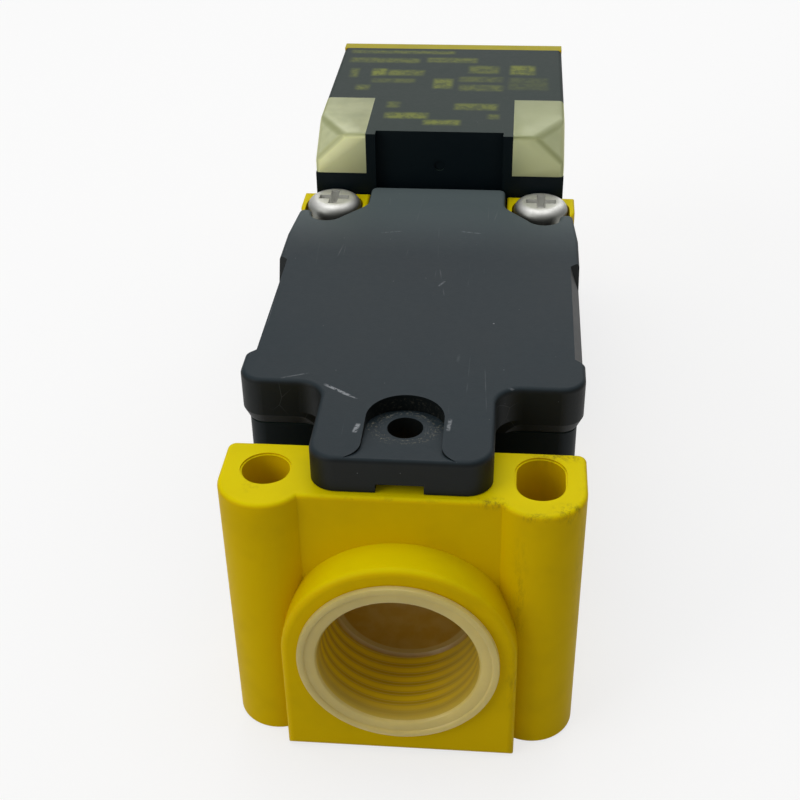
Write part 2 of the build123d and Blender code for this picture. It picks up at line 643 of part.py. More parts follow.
def coil_former():
    """Bobbin in the groove of the core."""
    y0 = CAP_Y - CORE_GROOVE_DEPTH
    y1 = CAP_Y - FORMER_CLEAR
    inner = CORE_CENTRE_R + FORMER_CLEAR
    outer = CORE_GROOVE_R - FORMER_CLEAR
    former = rod(outer, y0, y1, 0, FACE_Z) - rod(inner, y0, y1, 0, FACE_Z)
    space = rod(outer, y0 + FORMER_WALL, y1 - FORMER_WALL, 0, FACE_Z)
    space -= rod(inner + FORMER_WALL, y0, y1, 0, FACE_Z)
    return former - space


def sensing_coil():
    """Winding on the bobbin."""
    y0 = CAP_Y - CORE_GROOVE_DEPTH + FORMER_WALL
    y1 = CAP_Y - FORMER_CLEAR - FORMER_WALL
    outer = CORE_GROOVE_R - 2 * FORMER_CLEAR
    inner = CORE_CENTRE_R + FORMER_CLEAR + FORMER_WALL
    return rod(outer, y0, y1, 0, FACE_Z) - rod(inner, y0, y1, 0, FACE_Z)


def coil_leads():
    """Two leads from the coil, through the core, to the board."""
    y0 = BOARD_Y + BOARD_THICK
    return group([rod(LEAD_R, y0, CAP_Y - CORE_GROOVE_DEPTH, s * LEAD_X, FACE_Z) for s in (-1, 1)])


def circuit_board():
    """Board standing behind the rear wall of the head."""
    half = HEAD_HALF - HEAD_WALL - CHAMBER_CLEAR
    z0 = FOOT_TOP + HEAD_WALL
    z1 = HEAD_TOP - HEAD_WALL - CHAMBER_CLEAR
    board = slab(-half, half, BOARD_Y, BOARD_Y + BOARD_THICK, z0, z1)
    for side in (-1, 1):
        notch = sorted((side * (half - BOARD_NOTCH_X), side * half))
        board -= slab(notch[0], notch[1], BOARD_Y, BOARD_Y + BOARD_THICK, z1 - BOARD_NOTCH_Z, z1)
    for x in pin_places():
        board -= rod(PIN_R, BOARD_Y, BOARD_Y + BOARD_THICK, x, PIN_Z)
    return board


def board_components():
    """Main components on the coil side of the board."""
    y0 = BOARD_Y + BOARD_THICK
    items = []
    for x, z, width, height, thick in FLAT_COMPONENTS:
        z0 = FACE_Z + z - height / 2
        items.append(slab(x - width / 2, x + width / 2, y0, y0 + thick, z0, z0 + height))
    for x, z, radius, length in ROUND_COMPONENTS:
        items.append(rod(radius, y0, y0 + length, x, FACE_Z + z))
    return group(items)


def status_leds():
    """Two LEDs on the board, one behind each corner window."""
    z = HEAD_TOP - LED_DROP
    return group([rod(LED_R, BOARD_Y - LED_LENGTH, BOARD_Y, s * LED_X, z) for s in (-1, 1)])


def head_pins():
    """Four contact pins from the board to the sockets in the chamber."""
    y0 = SOCKET_BACK_Y - PIN_REACH + SOCKET_END
    pins = []
    for x in pin_places():
        pin = rod(PIN_R, y0, BOARD_Y + BOARD_THICK, x, PIN_Z)
        pins.append(fillet(pin.faces().sort_by(Axis.Y)[0].edges(), PIN_R / 2))
    return group(pins)


def head_seal():
    """Seal round the pins, between the chamber and the head."""
    half = PIN_PITCH * (POLES - 1) / 2 + SEAL_WIDTH + PIN_R
    y0 = CHAMBER_BACK_Y
    ring = slab(-half, half, y0, HEAD_Y, PIN_Z - SEAL_HEIGHT / 2, PIN_Z + SEAL_HEIGHT / 2)
    ring = fillet(ring.edges().filter_by(Axis.Y), SEAL_WIDTH)
    inner = half - SEAL_WIDTH
    tall = SEAL_HEIGHT / 2 - SEAL_WIDTH
    return ring - slab(-inner, inner, y0, HEAD_Y, PIN_Z - tall, PIN_Z + tall)


def socket_carrier():
    """Plastic carrier for the four sockets, in the bay of the chamber."""
    top = PIN_Z + CARRIER_RISE
    body = slab(-CARRIER_HALF, CARRIER_HALF, SOCKET_FRONT_Y, SOCKET_BACK_Y, CHAMBER_BASE_Z, top)
    body = fillet(body.faces().sort_by(Axis.Z)[-1].edges().filter_by(Axis.Y), BLOCK_EDGE)
    for x in pin_places():
        body -= rod(SOCKET_R, SOCKET_FRONT_Y, SOCKET_BACK_Y, x, PIN_Z)
    return body


def contact_bar(pole_x, pin_x):
    """Brass bar from one terminal to its socket, with the socket on its end."""
    bend_y = BOSS_Y + BLOCK_SETBACK + BLOCK_DEPTH + BAR_BEND
    route = Polyline((pole_x, POLE_Y - CAGE_DEPTH / 2), (pole_x, bend_y),
                     (pin_x, SOCKET_FRONT_Y - BAR_LEAD), (pin_x, SOCKET_FRONT_Y))
    bar = prism(trace(route, BAR_WIDTH), BAR_Z, BAR_Z + BAR_THICK)
    bar += slab(pole_x - PAD_WIDTH / 2, pole_x + PAD_WIDTH / 2, POLE_Y - CAGE_DEPTH / 2,
                BOSS_Y + BLOCK_SETBACK + BLOCK_DEPTH, BAR_Z, BAR_Z + BAR_THICK)
    socket = rod(SOCKET_R, SOCKET_FRONT_Y, SOCKET_BACK_Y, pin_x, PIN_Z)
    socket -= rod(PIN_R + RUN_CLEAR, SOCKET_FRONT_Y + SOCKET_END, SOCKET_BACK_Y, pin_x, PIN_Z)
    return bar + socket


def socket_contacts():
    """Four terminal bars with sockets."""
    return group([contact_bar(a, b) for a, b in zip(pole_places(), pin_places())])


def terminal_block():
    """Four-pole terminal block with screw shafts, cage pockets and wire funnels."""
    y0 = BOSS_Y + BLOCK_SETBACK
    y1 = y0 + BLOCK_DEPTH
    top = BLOCK_ROOF_Z
    body = slab(-BLOCK_WIDTH / 2, BLOCK_WIDTH / 2, y0, y1, CHAMBER_BASE_Z, top)
    body = fillet(body.edges().filter_by(Axis.Z), BLOCK_EDGE)
    cage_low = CAGE_TOP_Z - CAGE_OPENING - CAGE_WALL
    pocket_top = CAGE_POCKET_Z
    half_x = CAGE_WIDTH / 2 + CAGE_CLEAR
    half_y = CAGE_DEPTH / 2 + CAGE_CLEAR
    wire_z = (CAGE_TOP_Z - CAGE_OPENING + BAR_Z) / 2
    for i, x in enumerate(pole_places()):
        if i:
            rib_x = x - POLE_PITCH / 2
            body += slab(rib_x - RIB_THICK / 2, rib_x + RIB_THICK / 2, y0, y1, top, top + RIB_RISE)
        body -= slab(x - half_x, x + half_x, POLE_Y - half_y, POLE_Y + half_y,
                     cage_low - CAGE_CLEAR, pocket_top)
        body -= post(TERMINAL_SCREW_R + CAGE_CLEAR, pocket_top, top, x, POLE_Y)
        body -= post(TERMINAL_HEAD_R + CHAMBER_CLEAR, pocket_top + DIAPHRAGM, top, x, POLE_Y)
        body -= rod(WIRE_HOLE_R, y0, POLE_Y, x, wire_z)
        funnel = Cone(WIRE_HOLE_R + FUNNEL_FLARE, WIRE_HOLE_R - FUNNEL_FLARE, FUNNEL_DEPTH)
        body -= Pos(x, y0, wire_z) * Rot(-90, 0, 0) * funnel
        body -= slab(x - PAD_WIDTH / 2, x + PAD_WIDTH / 2, POLE_Y, y1, BAR_Z, BAR_Z + BAR_THICK)
    return body


def terminal_cage(x):
    """Rising cage round one contact bar."""
    low = CAGE_TOP_Z - CAGE_OPENING - CAGE_WALL
    high = CAGE_TOP_Z + CAGE_HEAD
    half_x = CAGE_WIDTH / 2
    half_y = CAGE_DEPTH / 2
    cage = slab(x - half_x, x + half_x, POLE_Y - half_y, POLE_Y + half_y, low, high)
    cage = fillet(cage.edges().filter_by(Axis.Y), CAGE_WALL / 2)
    cage -= slab(x - half_x + CAGE_WALL, x + half_x - CAGE_WALL, POLE_Y - half_y, POLE_Y + half_y,
                 low + CAGE_WALL, CAGE_TOP_Z)
    return cage - post(TERMINAL_SCREW_R + RUN_CLEAR, CAGE_TOP_Z, high, x, POLE_Y)


def terminal_screw(x):
    """Slotted terminal screw, its tip on the contact bar."""
    seat = CAGE_POCKET_Z + DIAPHRAGM + RUN_CLEAR
    top = seat + TERMINAL_HEAD_H
    head = post(TERMINAL_HEAD_R, seat, top, x, POLE_Y)
    head = fillet(head.faces().sort_by(Axis.Z)[-1].edges(), TERMINAL_HEAD_EDGE)
    shank = post(TERMINAL_SCREW_R, BAR_Z + BAR_THICK + RUN_CLEAR, seat, x, POLE_Y)
    half = TERMINAL_SLOT / 2
    slot = slab(x - TERMINAL_HEAD_R, x + TERMINAL_HEAD_R, POLE_Y - half, POLE_Y + half,
                top - TERMINAL_HEAD_H / 2, top)
    return head + shank - slot


def build_parts():
    """Every sub-part by name."""
    parts = {
        "terminal_base": terminal_base(),
        "terminal_housing": terminal_housing(),
        "cover_gasket": cover_gasket(),
        "terminal_cover": terminal_cover(),
        "cover_screw_insert": cover_screw_insert(),
        "entry_plug": entry_plug(),
        "head_screw_left": head_screw(-1),
        "head_screw_right": head_screw(1),
        "head_screw_inserts": head_screw_inserts(),
        "head_housing": head_housing(),
        "active_face": active_face(),
        "led_window_left": led_window(-1),
        "led_window_right": led_window(1),
        "head_seal": head_seal(),
        "ferrite_core": ferrite_core(),
        "coil_former": coil_former(),
        "sensing_coil": sensing_coil(),
        "coil_leads": coil_leads(),
        "circuit_board": circuit_board(),
        "board_components": board_components(),
        "status_leds": status_leds(),
        "head_pins": head_pins(),
        "socket_carrier": socket_carrier(),
        "socket_contacts": socket_contacts(),
        "terminal_block": terminal_block(),
    }
    for i, x in enumerate(pole_places()):
        parts[f"terminal_screw_{i + 1}"] = terminal_screw(x)
        parts[f"terminal_cage_{i + 1}"] = terminal_cage(x)
    return parts


os.makedirs("parts", exist_ok=True)
for name, shape in build_parts().items():
    export_step(shape, f"parts/{name}.step")
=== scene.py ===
"""Inductive proximity sensor with a wiring chamber: finishes, fine detail, light and camera."""
from __future__ import annotations

import json
import logging
import math
from dataclasses import dataclass, field
from enum import Enum
from functools import reduce
from itertools import combinations
from typing import Any, Sequence

import bmesh
import bpy
from mathutils import Matrix, Vector

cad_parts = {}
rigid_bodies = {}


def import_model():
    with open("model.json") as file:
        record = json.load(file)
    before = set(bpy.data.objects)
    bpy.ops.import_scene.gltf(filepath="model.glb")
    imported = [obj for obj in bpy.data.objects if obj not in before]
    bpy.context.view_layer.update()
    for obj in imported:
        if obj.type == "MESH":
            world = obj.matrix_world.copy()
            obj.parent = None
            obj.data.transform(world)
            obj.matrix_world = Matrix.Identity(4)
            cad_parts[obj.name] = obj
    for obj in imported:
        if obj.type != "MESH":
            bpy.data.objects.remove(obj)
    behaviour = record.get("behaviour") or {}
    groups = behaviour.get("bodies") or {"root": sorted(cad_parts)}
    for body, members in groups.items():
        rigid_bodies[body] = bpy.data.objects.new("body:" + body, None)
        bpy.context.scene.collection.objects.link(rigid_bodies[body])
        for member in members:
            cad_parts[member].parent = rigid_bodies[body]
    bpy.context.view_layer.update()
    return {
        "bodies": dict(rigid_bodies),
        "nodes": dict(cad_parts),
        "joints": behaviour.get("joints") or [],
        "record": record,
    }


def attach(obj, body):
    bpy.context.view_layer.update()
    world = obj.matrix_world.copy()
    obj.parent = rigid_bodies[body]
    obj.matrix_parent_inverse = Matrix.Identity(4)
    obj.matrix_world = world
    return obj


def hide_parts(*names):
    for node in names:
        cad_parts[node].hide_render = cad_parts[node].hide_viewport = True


log = logging.getLogger("sensor")

Colour = tuple[float, float, float]
MM = 0.001
LEAN = (0.35, 0.95)


def srgb(red: float, green: float, blue: float) -> Colour:
    """Colour on the 0 to 255 scale as linear light.

    Args:
        red: Red level.
        green: Green level.
        blue: Blue level.

    Returns:
        The three linear levels.
    """
    levels = []
    for level in (red, green, blue):
        share = level / 255.0
        levels.append(share / 12.92 if share <= 0.04045 else ((share + 0.055) / 1.055) ** 2.4)
    return (levels[0], levels[1], levels[2])


class Maths(Enum):
    """Operations of the Math node that the finishes use."""

    ADD = "ADD"
    SUBTRACT = "SUBTRACT"
    MULTIPLY = "MULTIPLY"
    DIVIDE = "DIVIDE"
    LESS = "LESS_THAN"
    GREATER = "GREATER_THAN"
    LEAST = "MINIMUM"
    MOST = "MAXIMUM"
    ABSOLUTE = "ABSOLUTE"
    SINE = "SINE"
    FRACTION = "FRACT"
    ROOT = "SQRT"
    TURN = "ARCTAN2"


class Signal:
    """One value in a material's node tree, with Python operators for its maths."""

    def __init__(self, bench: Bench, socket: bpy.types.NodeSocket) -> None:
        """Wraps a socket.

        Args:
            bench: The bench that the socket's node stands on.
            socket: The output socket.
        """
        self.bench = bench
        self.socket = socket

    def _maths(self, operation: Maths, first: Any, second: Any = None) -> Signal:
        """Adds one Math node.

        Args:
            operation: What the node works out.
            first: First input.
            second: Second input, if the operation takes one.

        Returns:
            The node's result.
        """
        inputs = {0: first} if second is None else {0: first, 1: second}
        return self.bench.node("ShaderNodeMath", {"operation": operation.value}, inputs)

    def __add__(self, other: Any) -> Signal:
        """Sum."""
        return self._maths(Maths.ADD, self, other)

    def __radd__(self, other: Any) -> Signal:
        """Sum, the number first."""
        return self._maths(Maths.ADD, other, self)

    def __sub__(self, other: Any) -> Signal:
        """Difference."""
        return self._maths(Maths.SUBTRACT, self, other)

    def __rsub__(self, other: Any) -> Signal:
        """Difference, the number first."""
        return self._maths(Maths.SUBTRACT, other, self)

    def __mul__(self, other: Any) -> Signal:
        """Product."""
        return self._maths(Maths.MULTIPLY, self, other)

    def __rmul__(self, other: Any) -> Signal:
        """Product, the number first."""
        return self._maths(Maths.MULTIPLY, other, self)

    def __truediv__(self, other: Any) -> Signal:
        """Quotient."""
        return self._maths(Maths.DIVIDE, self, other)

    def __lt__(self, other: Any) -> Signal:
        """1 where this value is the smaller, else 0."""
        return self._maths(Maths.LESS, self, other)

    def __gt__(self, other: Any) -> Signal:
        """1 where this value is the larger, else 0."""
        return self._maths(Maths.GREATER, self, other)

    def most(self, other: Any) -> Signal:
        """The larger of the two."""
        return self._maths(Maths.MOST, self, other)

    def least(self, other: Any) -> Signal:
        """The smaller of the two."""
        return self._maths(Maths.LEAST, self, other)

    def size(self) -> Signal:
        """The value without its sign."""
        return self._maths(Maths.ABSOLUTE, self)

    def sine(self) -> Signal:
        """Sine of the value."""
        return self._maths(Maths.SINE, self)

    def fraction(self) -> Signal:
        """The part after the point."""
        return self._maths(Maths.FRACTION, self)

    def reach(self, other: Signal) -> Signal:
        """Length of the long side over two values at a right angle."""
        return self._maths(Maths.ROOT, self * self + other * other)

    def turn(self, other: Signal) -> Signal:
        """Angle of this value over the other, in radians."""
        return self._maths(Maths.TURN, self, other)

    def step(self, low: float, high: float) -> Signal:
        """Smooth step between two levels.

        Args:
            low: Level that gives 0.
            high: Level that gives 1.

        Returns:
            The eased value.
        """
        settings = {"interpolation_type": "SMOOTHSTEP"}
        inputs = {"Value": self, "From Min": low, "From Max": high, "To Min": 0.0, "To Max": 1.0}
        return self.bench.node("ShaderNodeMapRange", settings, inputs, output="Result")


class Bench:
    """Workbench on which one material's nodes are put together."""

    def __init__(self, name: str) -> None:
        """Starts an empty material.

        Args:
            name: The material's name.
        """
        self.material = bpy.data.materials.new(name)
        self.material.use_nodes = True
        self.tree = self.material.node_tree
        self.tree.nodes.clear()
        self.output = self.tree.nodes.new("ShaderNodeOutputMaterial")
        self._places: Signal | None = None

    def node(
        self,
        kind: str,
        settings: dict[str, Any] | None = None,
        inputs: dict[Any, Any] | None = None,
        output: Any = 0,
    ) -> Signal:
        """Adds any node.

        Args:
            kind: The node's type.
            settings: Its settings, which are set first.
            inputs: Values or signals for its sockets, by name or place.
            output: The output socket to hand back, by name or place.

        Returns:
            That output.
        """
        node = self.tree.nodes.new(kind)
        for key, value in (settings or {}).items():
            setattr(node, key, value)
        for key, value in (inputs or {}).items():
            socket = node.inputs[key]
            if isinstance(value, Signal):
                self.tree.links.new(value.socket, socket)
            elif isinstance(value, tuple) and len(value) == 3 and socket.type == "RGBA":
                socket.default_value = (*value, 1.0)
            else:
                socket.default_value = value
        return Signal(self, node.outputs[output])

    def places(self) -> Signal:
        """Object coordinates, in metres."""
        if self._places is None:
            self._places = self.node("ShaderNodeTexCoord", output="Object")
        return self._places

    def axes(self, vector: Signal | None = None) -> tuple[Signal, Signal, Signal]:
        """The three parts of a vector.

        Args:
            vector: The vector, or None for Object coordinates.

        Returns:
            Its X, Y and Z.
        """
        split = self.node("ShaderNodeSeparateXYZ", inputs={0: vector or self.places()})
        outputs = split.socket.node.outputs
        return Signal(self, outputs[0]), Signal(self, outputs[1]), Signal(self, outputs[2])

    def facing(self) -> tuple[Signal, Signal, Signal]:
        """The surface's direction along X, Y and Z."""
        return self.axes(self.node("ShaderNodeTexCoord", output="Normal"))

    def facing_up(self) -> Signal:
        """1 on faces that look up, 0 on upright and lower ones."""
        return self.facing()[2].step(*LEAN)

    def bore(self, axis_z: float) -> Signal:
        """Distance from a line along Y.

        Args:
            axis_z: Height of the line in millimetres.

        Returns:
            The distance in metres.
        """
        x, _, z = self.axes()
        return x.reach(z - axis_z * MM)

    def thread(self, axis_z: float, start_y: float, pitch: float) -> Signal:
        """Height of a thread round a line along Y.

        Args:
            axis_z: Height of the line in millimetres.
            start_y: Where the thread starts in millimetres.
            pitch: The thread's pitch in millimetres.

        Returns:
            The height, from 0 to 1.
        """
        x, y, z = self.axes()
        along = (y - start_y * MM) / (pitch * MM) + x.turn(z - axis_z * MM) / (2 * math.pi)
        return (along.fraction() - 0.5).size() * 2.0

    def shifted(self, offset: Vector, stretch: Vector) -> Signal:
        """Object coordinates moved and stretched.

        Args:
            offset: The point that becomes the middle.
            stretch: How far each axis is stretched.

        Returns:
            The new coordinates.
        """
        inputs = {0: self.places(), 1: tuple(offset)}
        moved = self.node("ShaderNodeVectorMath", {"operation": "SUBTRACT"}, inputs)
        return self.node("ShaderNodeVectorMath", {"operation": "MULTIPLY"}, {0: moved, 1: tuple(stretch)})

    def noise(
        self, size_mm: float, detail: float = 3.0, rough: float = 0.55, vector: Signal | None = None
    ) -> Signal:
        """Noise with patches of about a given size.

        Args:
            size_mm: Size of a patch in millimetres.
            detail: Number of finer layers.
            rough: Strength of the finer layers.
            vector: Coordinates, or None for Object coordinates.

        Returns:
            The noise, from 0 to 1.
        """
        inputs = {
            "Vector": vector or self.places(),
            "Scale": 1.0 / (size_mm * MM),
            "Detail": detail,
            "Roughness": rough,
        }
        return self.node("ShaderNodeTexNoise", inputs=inputs)

    def specks(self, size_mm: float, radius: float, share: float) -> Signal:
        """Small round specks, scattered.

        Args:
            size_mm: Spacing of the specks in millimetres.
            radius: Radius of a speck as a share of the spacing.
            share: Share of the cells that hold a speck.

        Returns:
            1 in a speck, 0 outside.
        """
        cell = self.node(
            "ShaderNodeTexVoronoi",
            {"feature": "F1", "distance": "EUCLIDEAN"},
            {"Vector": self.places(), "Scale": 1.0 / (size_mm * MM)},
            output="Distance",
        )
        chance = Signal(self, cell.socket.node.outputs["Color"])
        pick = self.axes(chance)[0] < share
        return (1.0 - cell.step(radius * 0.6, radius)) * pick

    def mix(self, share: Any, first: Any, second: Any) -> Signal:
        """Mixes two colours.

        Args:
            share: Share of the second colour.
            first: First colour.
            second: Second colour.

        Returns:
            The mixed colour.
        """
        settings = {"data_type": "RGBA", "clamp_factor": True}
        return self.node("ShaderNodeMix", settings, {0: share, 6: first, 7: second}, output=2)

    def bump(
        self, height: Signal, depth_mm: float, strength: float = 1.0, below: Signal | None = None
    ) -> Signal:
        """Normal from a height.

        Args:
            height: The height, from 0 to 1.
            depth_mm: Height of a full step in millimetres.
            strength: Strength of the effect.
            below: A normal that this one adds to.

        Returns:
            The normal.
        """
        inputs: dict[str, Any] = {"Height": height, "Distance": depth_mm * MM, "Strength": strength}
        if below is not None:
            inputs["Normal"] = below
        return self.node("ShaderNodeBump", inputs=inputs)

    def surface(self, **sockets: Any) -> bpy.types.Material:
        """Ends the material with one Principled shader.

        Args:
            sockets: Its sockets, with underscores for spaces.

        Returns:
            The finished material.
        """
        inputs = {key.replace("_", " "): value for key, value in sockets.items()}
        shader = self.node("ShaderNodeBsdfPrincipled", inputs=inputs)
        self.tree.links.new(shader.socket, self.output.inputs["Surface"])
        return self.material


@dataclass(frozen=True)
class PlugForm:
    """Sizes that the plug's shape and finish share. Millimetres."""

    axis_z: float = 14.4
    boss_y: float = -56.6
    flange: float = 0.8
    cup_r: float = 8.95
    stem: float = 11.0
    bottom: float = 1.2
    pitch: float = 1.5

    @property
    def mouth_y(self) -> float:
        """Y of the flange's outer face."""
        return self.boss_y - self.flange

    @property
    def floor_y(self) -> float:
        """Y of the cup's floor."""
        return self.boss_y + self.stem - self.bottom


@dataclass(frozen=True)
class WindowForm:
    """Sizes that a window's shape and finish share, on the right side. Millimetres."""

    inner_x: float = 10.7
    outer_x: float = 18.2
    rear_y: float = 17.0
    length: float = 14.4
    low_z: float = 39.9
    top_z: float = 46.0
    facet: tuple[float, float, float] = (4.2, 7.0, 4.0)


@dataclass(frozen=True)
class Grime:
    """One dirty place on the yellow plastic, in millimetres."""

    x: float
    y: float
    z: float
    reach: float
    strength: float
    stretch: Vector = Vector((1.0, 1.0, 1.0))


@dataclass(frozen=True)
class YellowPlastic:
    """Satin moulded yellow plastic with faint grain, worn edges, a threaded entry and some grime; its upper
    faces are painted lighter and its sides darker as painted light and shade.
    """

    name: str = "yellow_plastic"
    # top and side: one yellow as a lit copy for upper faces and a shaded copy for the rest, painted light
    # and shade
    top: Colour = (0.74, 0.60, 0.0)
    side: Colour = (0.70, 0.475, 0.0)
    dirt: Colour = (0.13, 0.085, 0.012)
    worn: Colour = (0.26, 0.19, 0.01)
    grain_mm: float = 0.35
    grain_depth_mm: float = 0.012
    edge_z: float = 33.4
    edge_wear: float = 0.3
    cap_y: float = 54.4
    cap_z: float = 45.3
    cap_dust: Colour = (0.16, 0.17, 0.07)
    entry_z: float = 14.4
    entry_r: float = 10.0
    entry_back: float = -42.7
    entry_near: float = 0.15
    pitch: float = 1.5
    grime: tuple[Grime, ...] = ()

    def _grimy(self, bench: Bench, colour: Signal) -> Signal:
        """Adds the dirty places.

        Args:
            bench: The material's bench.
            colour: The colour so far.

        Returns:
            The colour with the dirt.
        """
        drawn_out = bench.shifted(Vector((0, 0, 0)), Vector((1.0, 1.0, 0.3)))
        streaks = bench.noise(0.55, 5.0, 0.75, drawn_out)
        for place in self.grime:
            away = bench.shifted(Vector((place.x, place.y, place.z)) * MM, place.stretch)
            length = bench.node("ShaderNodeVectorMath", {"operation": "LENGTH"}, {0: away}, output="Value")
            spot = 1.0 - length.step(0.0, place.reach * MM)
            colour = bench.mix(spot * streaks.step(0.42, 0.7) * place.strength, colour, self.dirt)
        return colour

    def _worn_edges(self, bench: Bench, colour: Signal) -> Signal:
        """Adds the wear along the block's upper edge and the dust on the cap's.

        Args:
            bench: The material's bench.
            colour: The colour so far.

        Returns:
            The colour with both.
        """
        _, along, height = bench.axes()
        rim = 1.0 - (height - self.edge_z * MM).size().step(0.08 * MM, 0.22 * MM)
        patches = bench.noise(2.6, 4.0, 0.7).step(0.52, 0.72)
        colour = bench.mix(rim * patches * self.edge_wear, colour, self.worn)
        capped = (along > self.cap_y * MM) * height.step((self.cap_z - 0.6) * MM, self.cap_z * MM)
        return bench.mix(capped * 0.55, colour, self.cap_dust)

    def _entry_thread(self, bench: Bench) -> Signal:
        """Height of the cable entry's thread, 0 away from its wall.

        Args:
            bench: The material's bench.

        Returns:
            The height.
        """
        wall = (bench.bore(self.entry_z) - self.entry_r * MM).size() < self.entry_near * MM
        thread = bench.thread(self.entry_z, 0.0, self.pitch)
        return thread * wall * (bench.axes()[1] < self.entry_back * MM)

    def build(self) -> bpy.types.Material:
        """Puts the nodes together."""
        bench = Bench(self.name)
        cloud = bench.noise(9.0, 3.0)
        # painted light and shade: upper faces get the lit colour, the other faces the shaded one
        colour = bench.mix(bench.facing_up(), self.side, self.top)
        colour = bench.mix(cloud.step(0.45, 0.75) * 0.12, colour, self.dirt)
        colour = bench.mix(bench.specks(2.4, 0.04, 0.25) * 0.6, colour, self.dirt)
        colour = self._worn_edges(bench, self._grimy(bench, colour))
        grain = bench.noise(self.grain_mm, 2.0, 0.6)
        normal = bench.bump(grain, self.grain_depth_mm, 0.5)
        normal = bench.bump(bench.noise(6.0, 1.0), 0.05, 0.35, normal)
        normal = bench.bump(self._entry_thread(bench), 0.7, 0.9, normal)
        return bench.surface(
            Base_Color=colour,
            Roughness=0.36 + cloud * 0.12 + grain * 0.06,
            Normal=normal,
            Subsurface_Weight=0.1,
            Subsurface_Radius=(0.9, 0.5, 0.02),
            Subsurface_Scale=0.0012,
            Specular_IOR_Level=0.03,
        )


@dataclass(frozen=True)
class Mark:
    """One plain printed patch on an upper face, in millimetres."""

    left: float
    right: float
    front: float
    back: float
    strength: float
    soft: float = 0.5

    def _span(self, place: Signal, low: float, high: float) -> Signal:
        """1 between two places along one axis, with soft ends.

        Args:
            place: Where along the axis, in metres.
            low: Lower end in millimetres.
            high: Upper end in millimetres.

        Returns:
            The mask.
        """
        half = (high - low) / 2
        off = (place - (low + high) / 2 * MM).size()
        return 1.0 - off.step((half - self.soft) * MM, (half + self.soft) * MM)

    def mask(self, bench: Bench) -> Signal:
        """How much ink lies in the patch.

        Args:
            bench: The material's bench.

        Returns:
            The mask, from 0 to its strength.
        """
        x, y, _ = bench.axes()
        return self._span(x, self.left, self.right) * self._span(y, self.front, self.back) * self.strength


@dataclass(frozen=True)
class Scuff:
    """One straight pale scratch on an upper face, in millimetres."""

    x: float
    y: float
    reach: float
    width: float
    turn_deg: float
    strength: float

    def mask(self, bench: Bench) -> Signal:
        """How much of the scratch shows at a place.

        Args:
            bench: The material's bench.

        Returns:
            The mask, from 0 to its strength.
        """
        x, y, _ = bench.axes()
        across, along = x - self.x * MM, y - self.y * MM
        turn = math.radians(self.turn_deg)
        run = across * math.cos(turn) + along * math.sin(turn)
        aside = along * math.cos(turn) - across * math.sin(turn)
        line = 1.0 - aside.size().step(self.width * 0.3 * MM, self.width * MM)
        ends = 1.0 - run.size().step(self.reach * 0.6 * MM, self.reach * MM)
        return line * ends * self.strength


@dataclass(frozen=True)
class Seat:
    """Worn ring round a screw hole, below a given height, in millimetres."""

    x: float
    y: float
    radius: float
    top: float

    def mask(self, bench: Bench) -> Signal:
        """Where the ring is rubbed and gritty.

        Args:
            bench: The material's bench.

        Returns:
            The mask.
        """
        x, y, z = bench.axes()
        away = (x - self.x * MM).reach(y - self.y * MM)
        ring = 1.0 - (away - self.radius * MM).size().step(0.3 * MM, 1.3 * MM)
        grit = bench.noise(0.35, 3.0, 0.75).step(0.52, 0.68)
        return ring * grit * (z < self.top * MM)


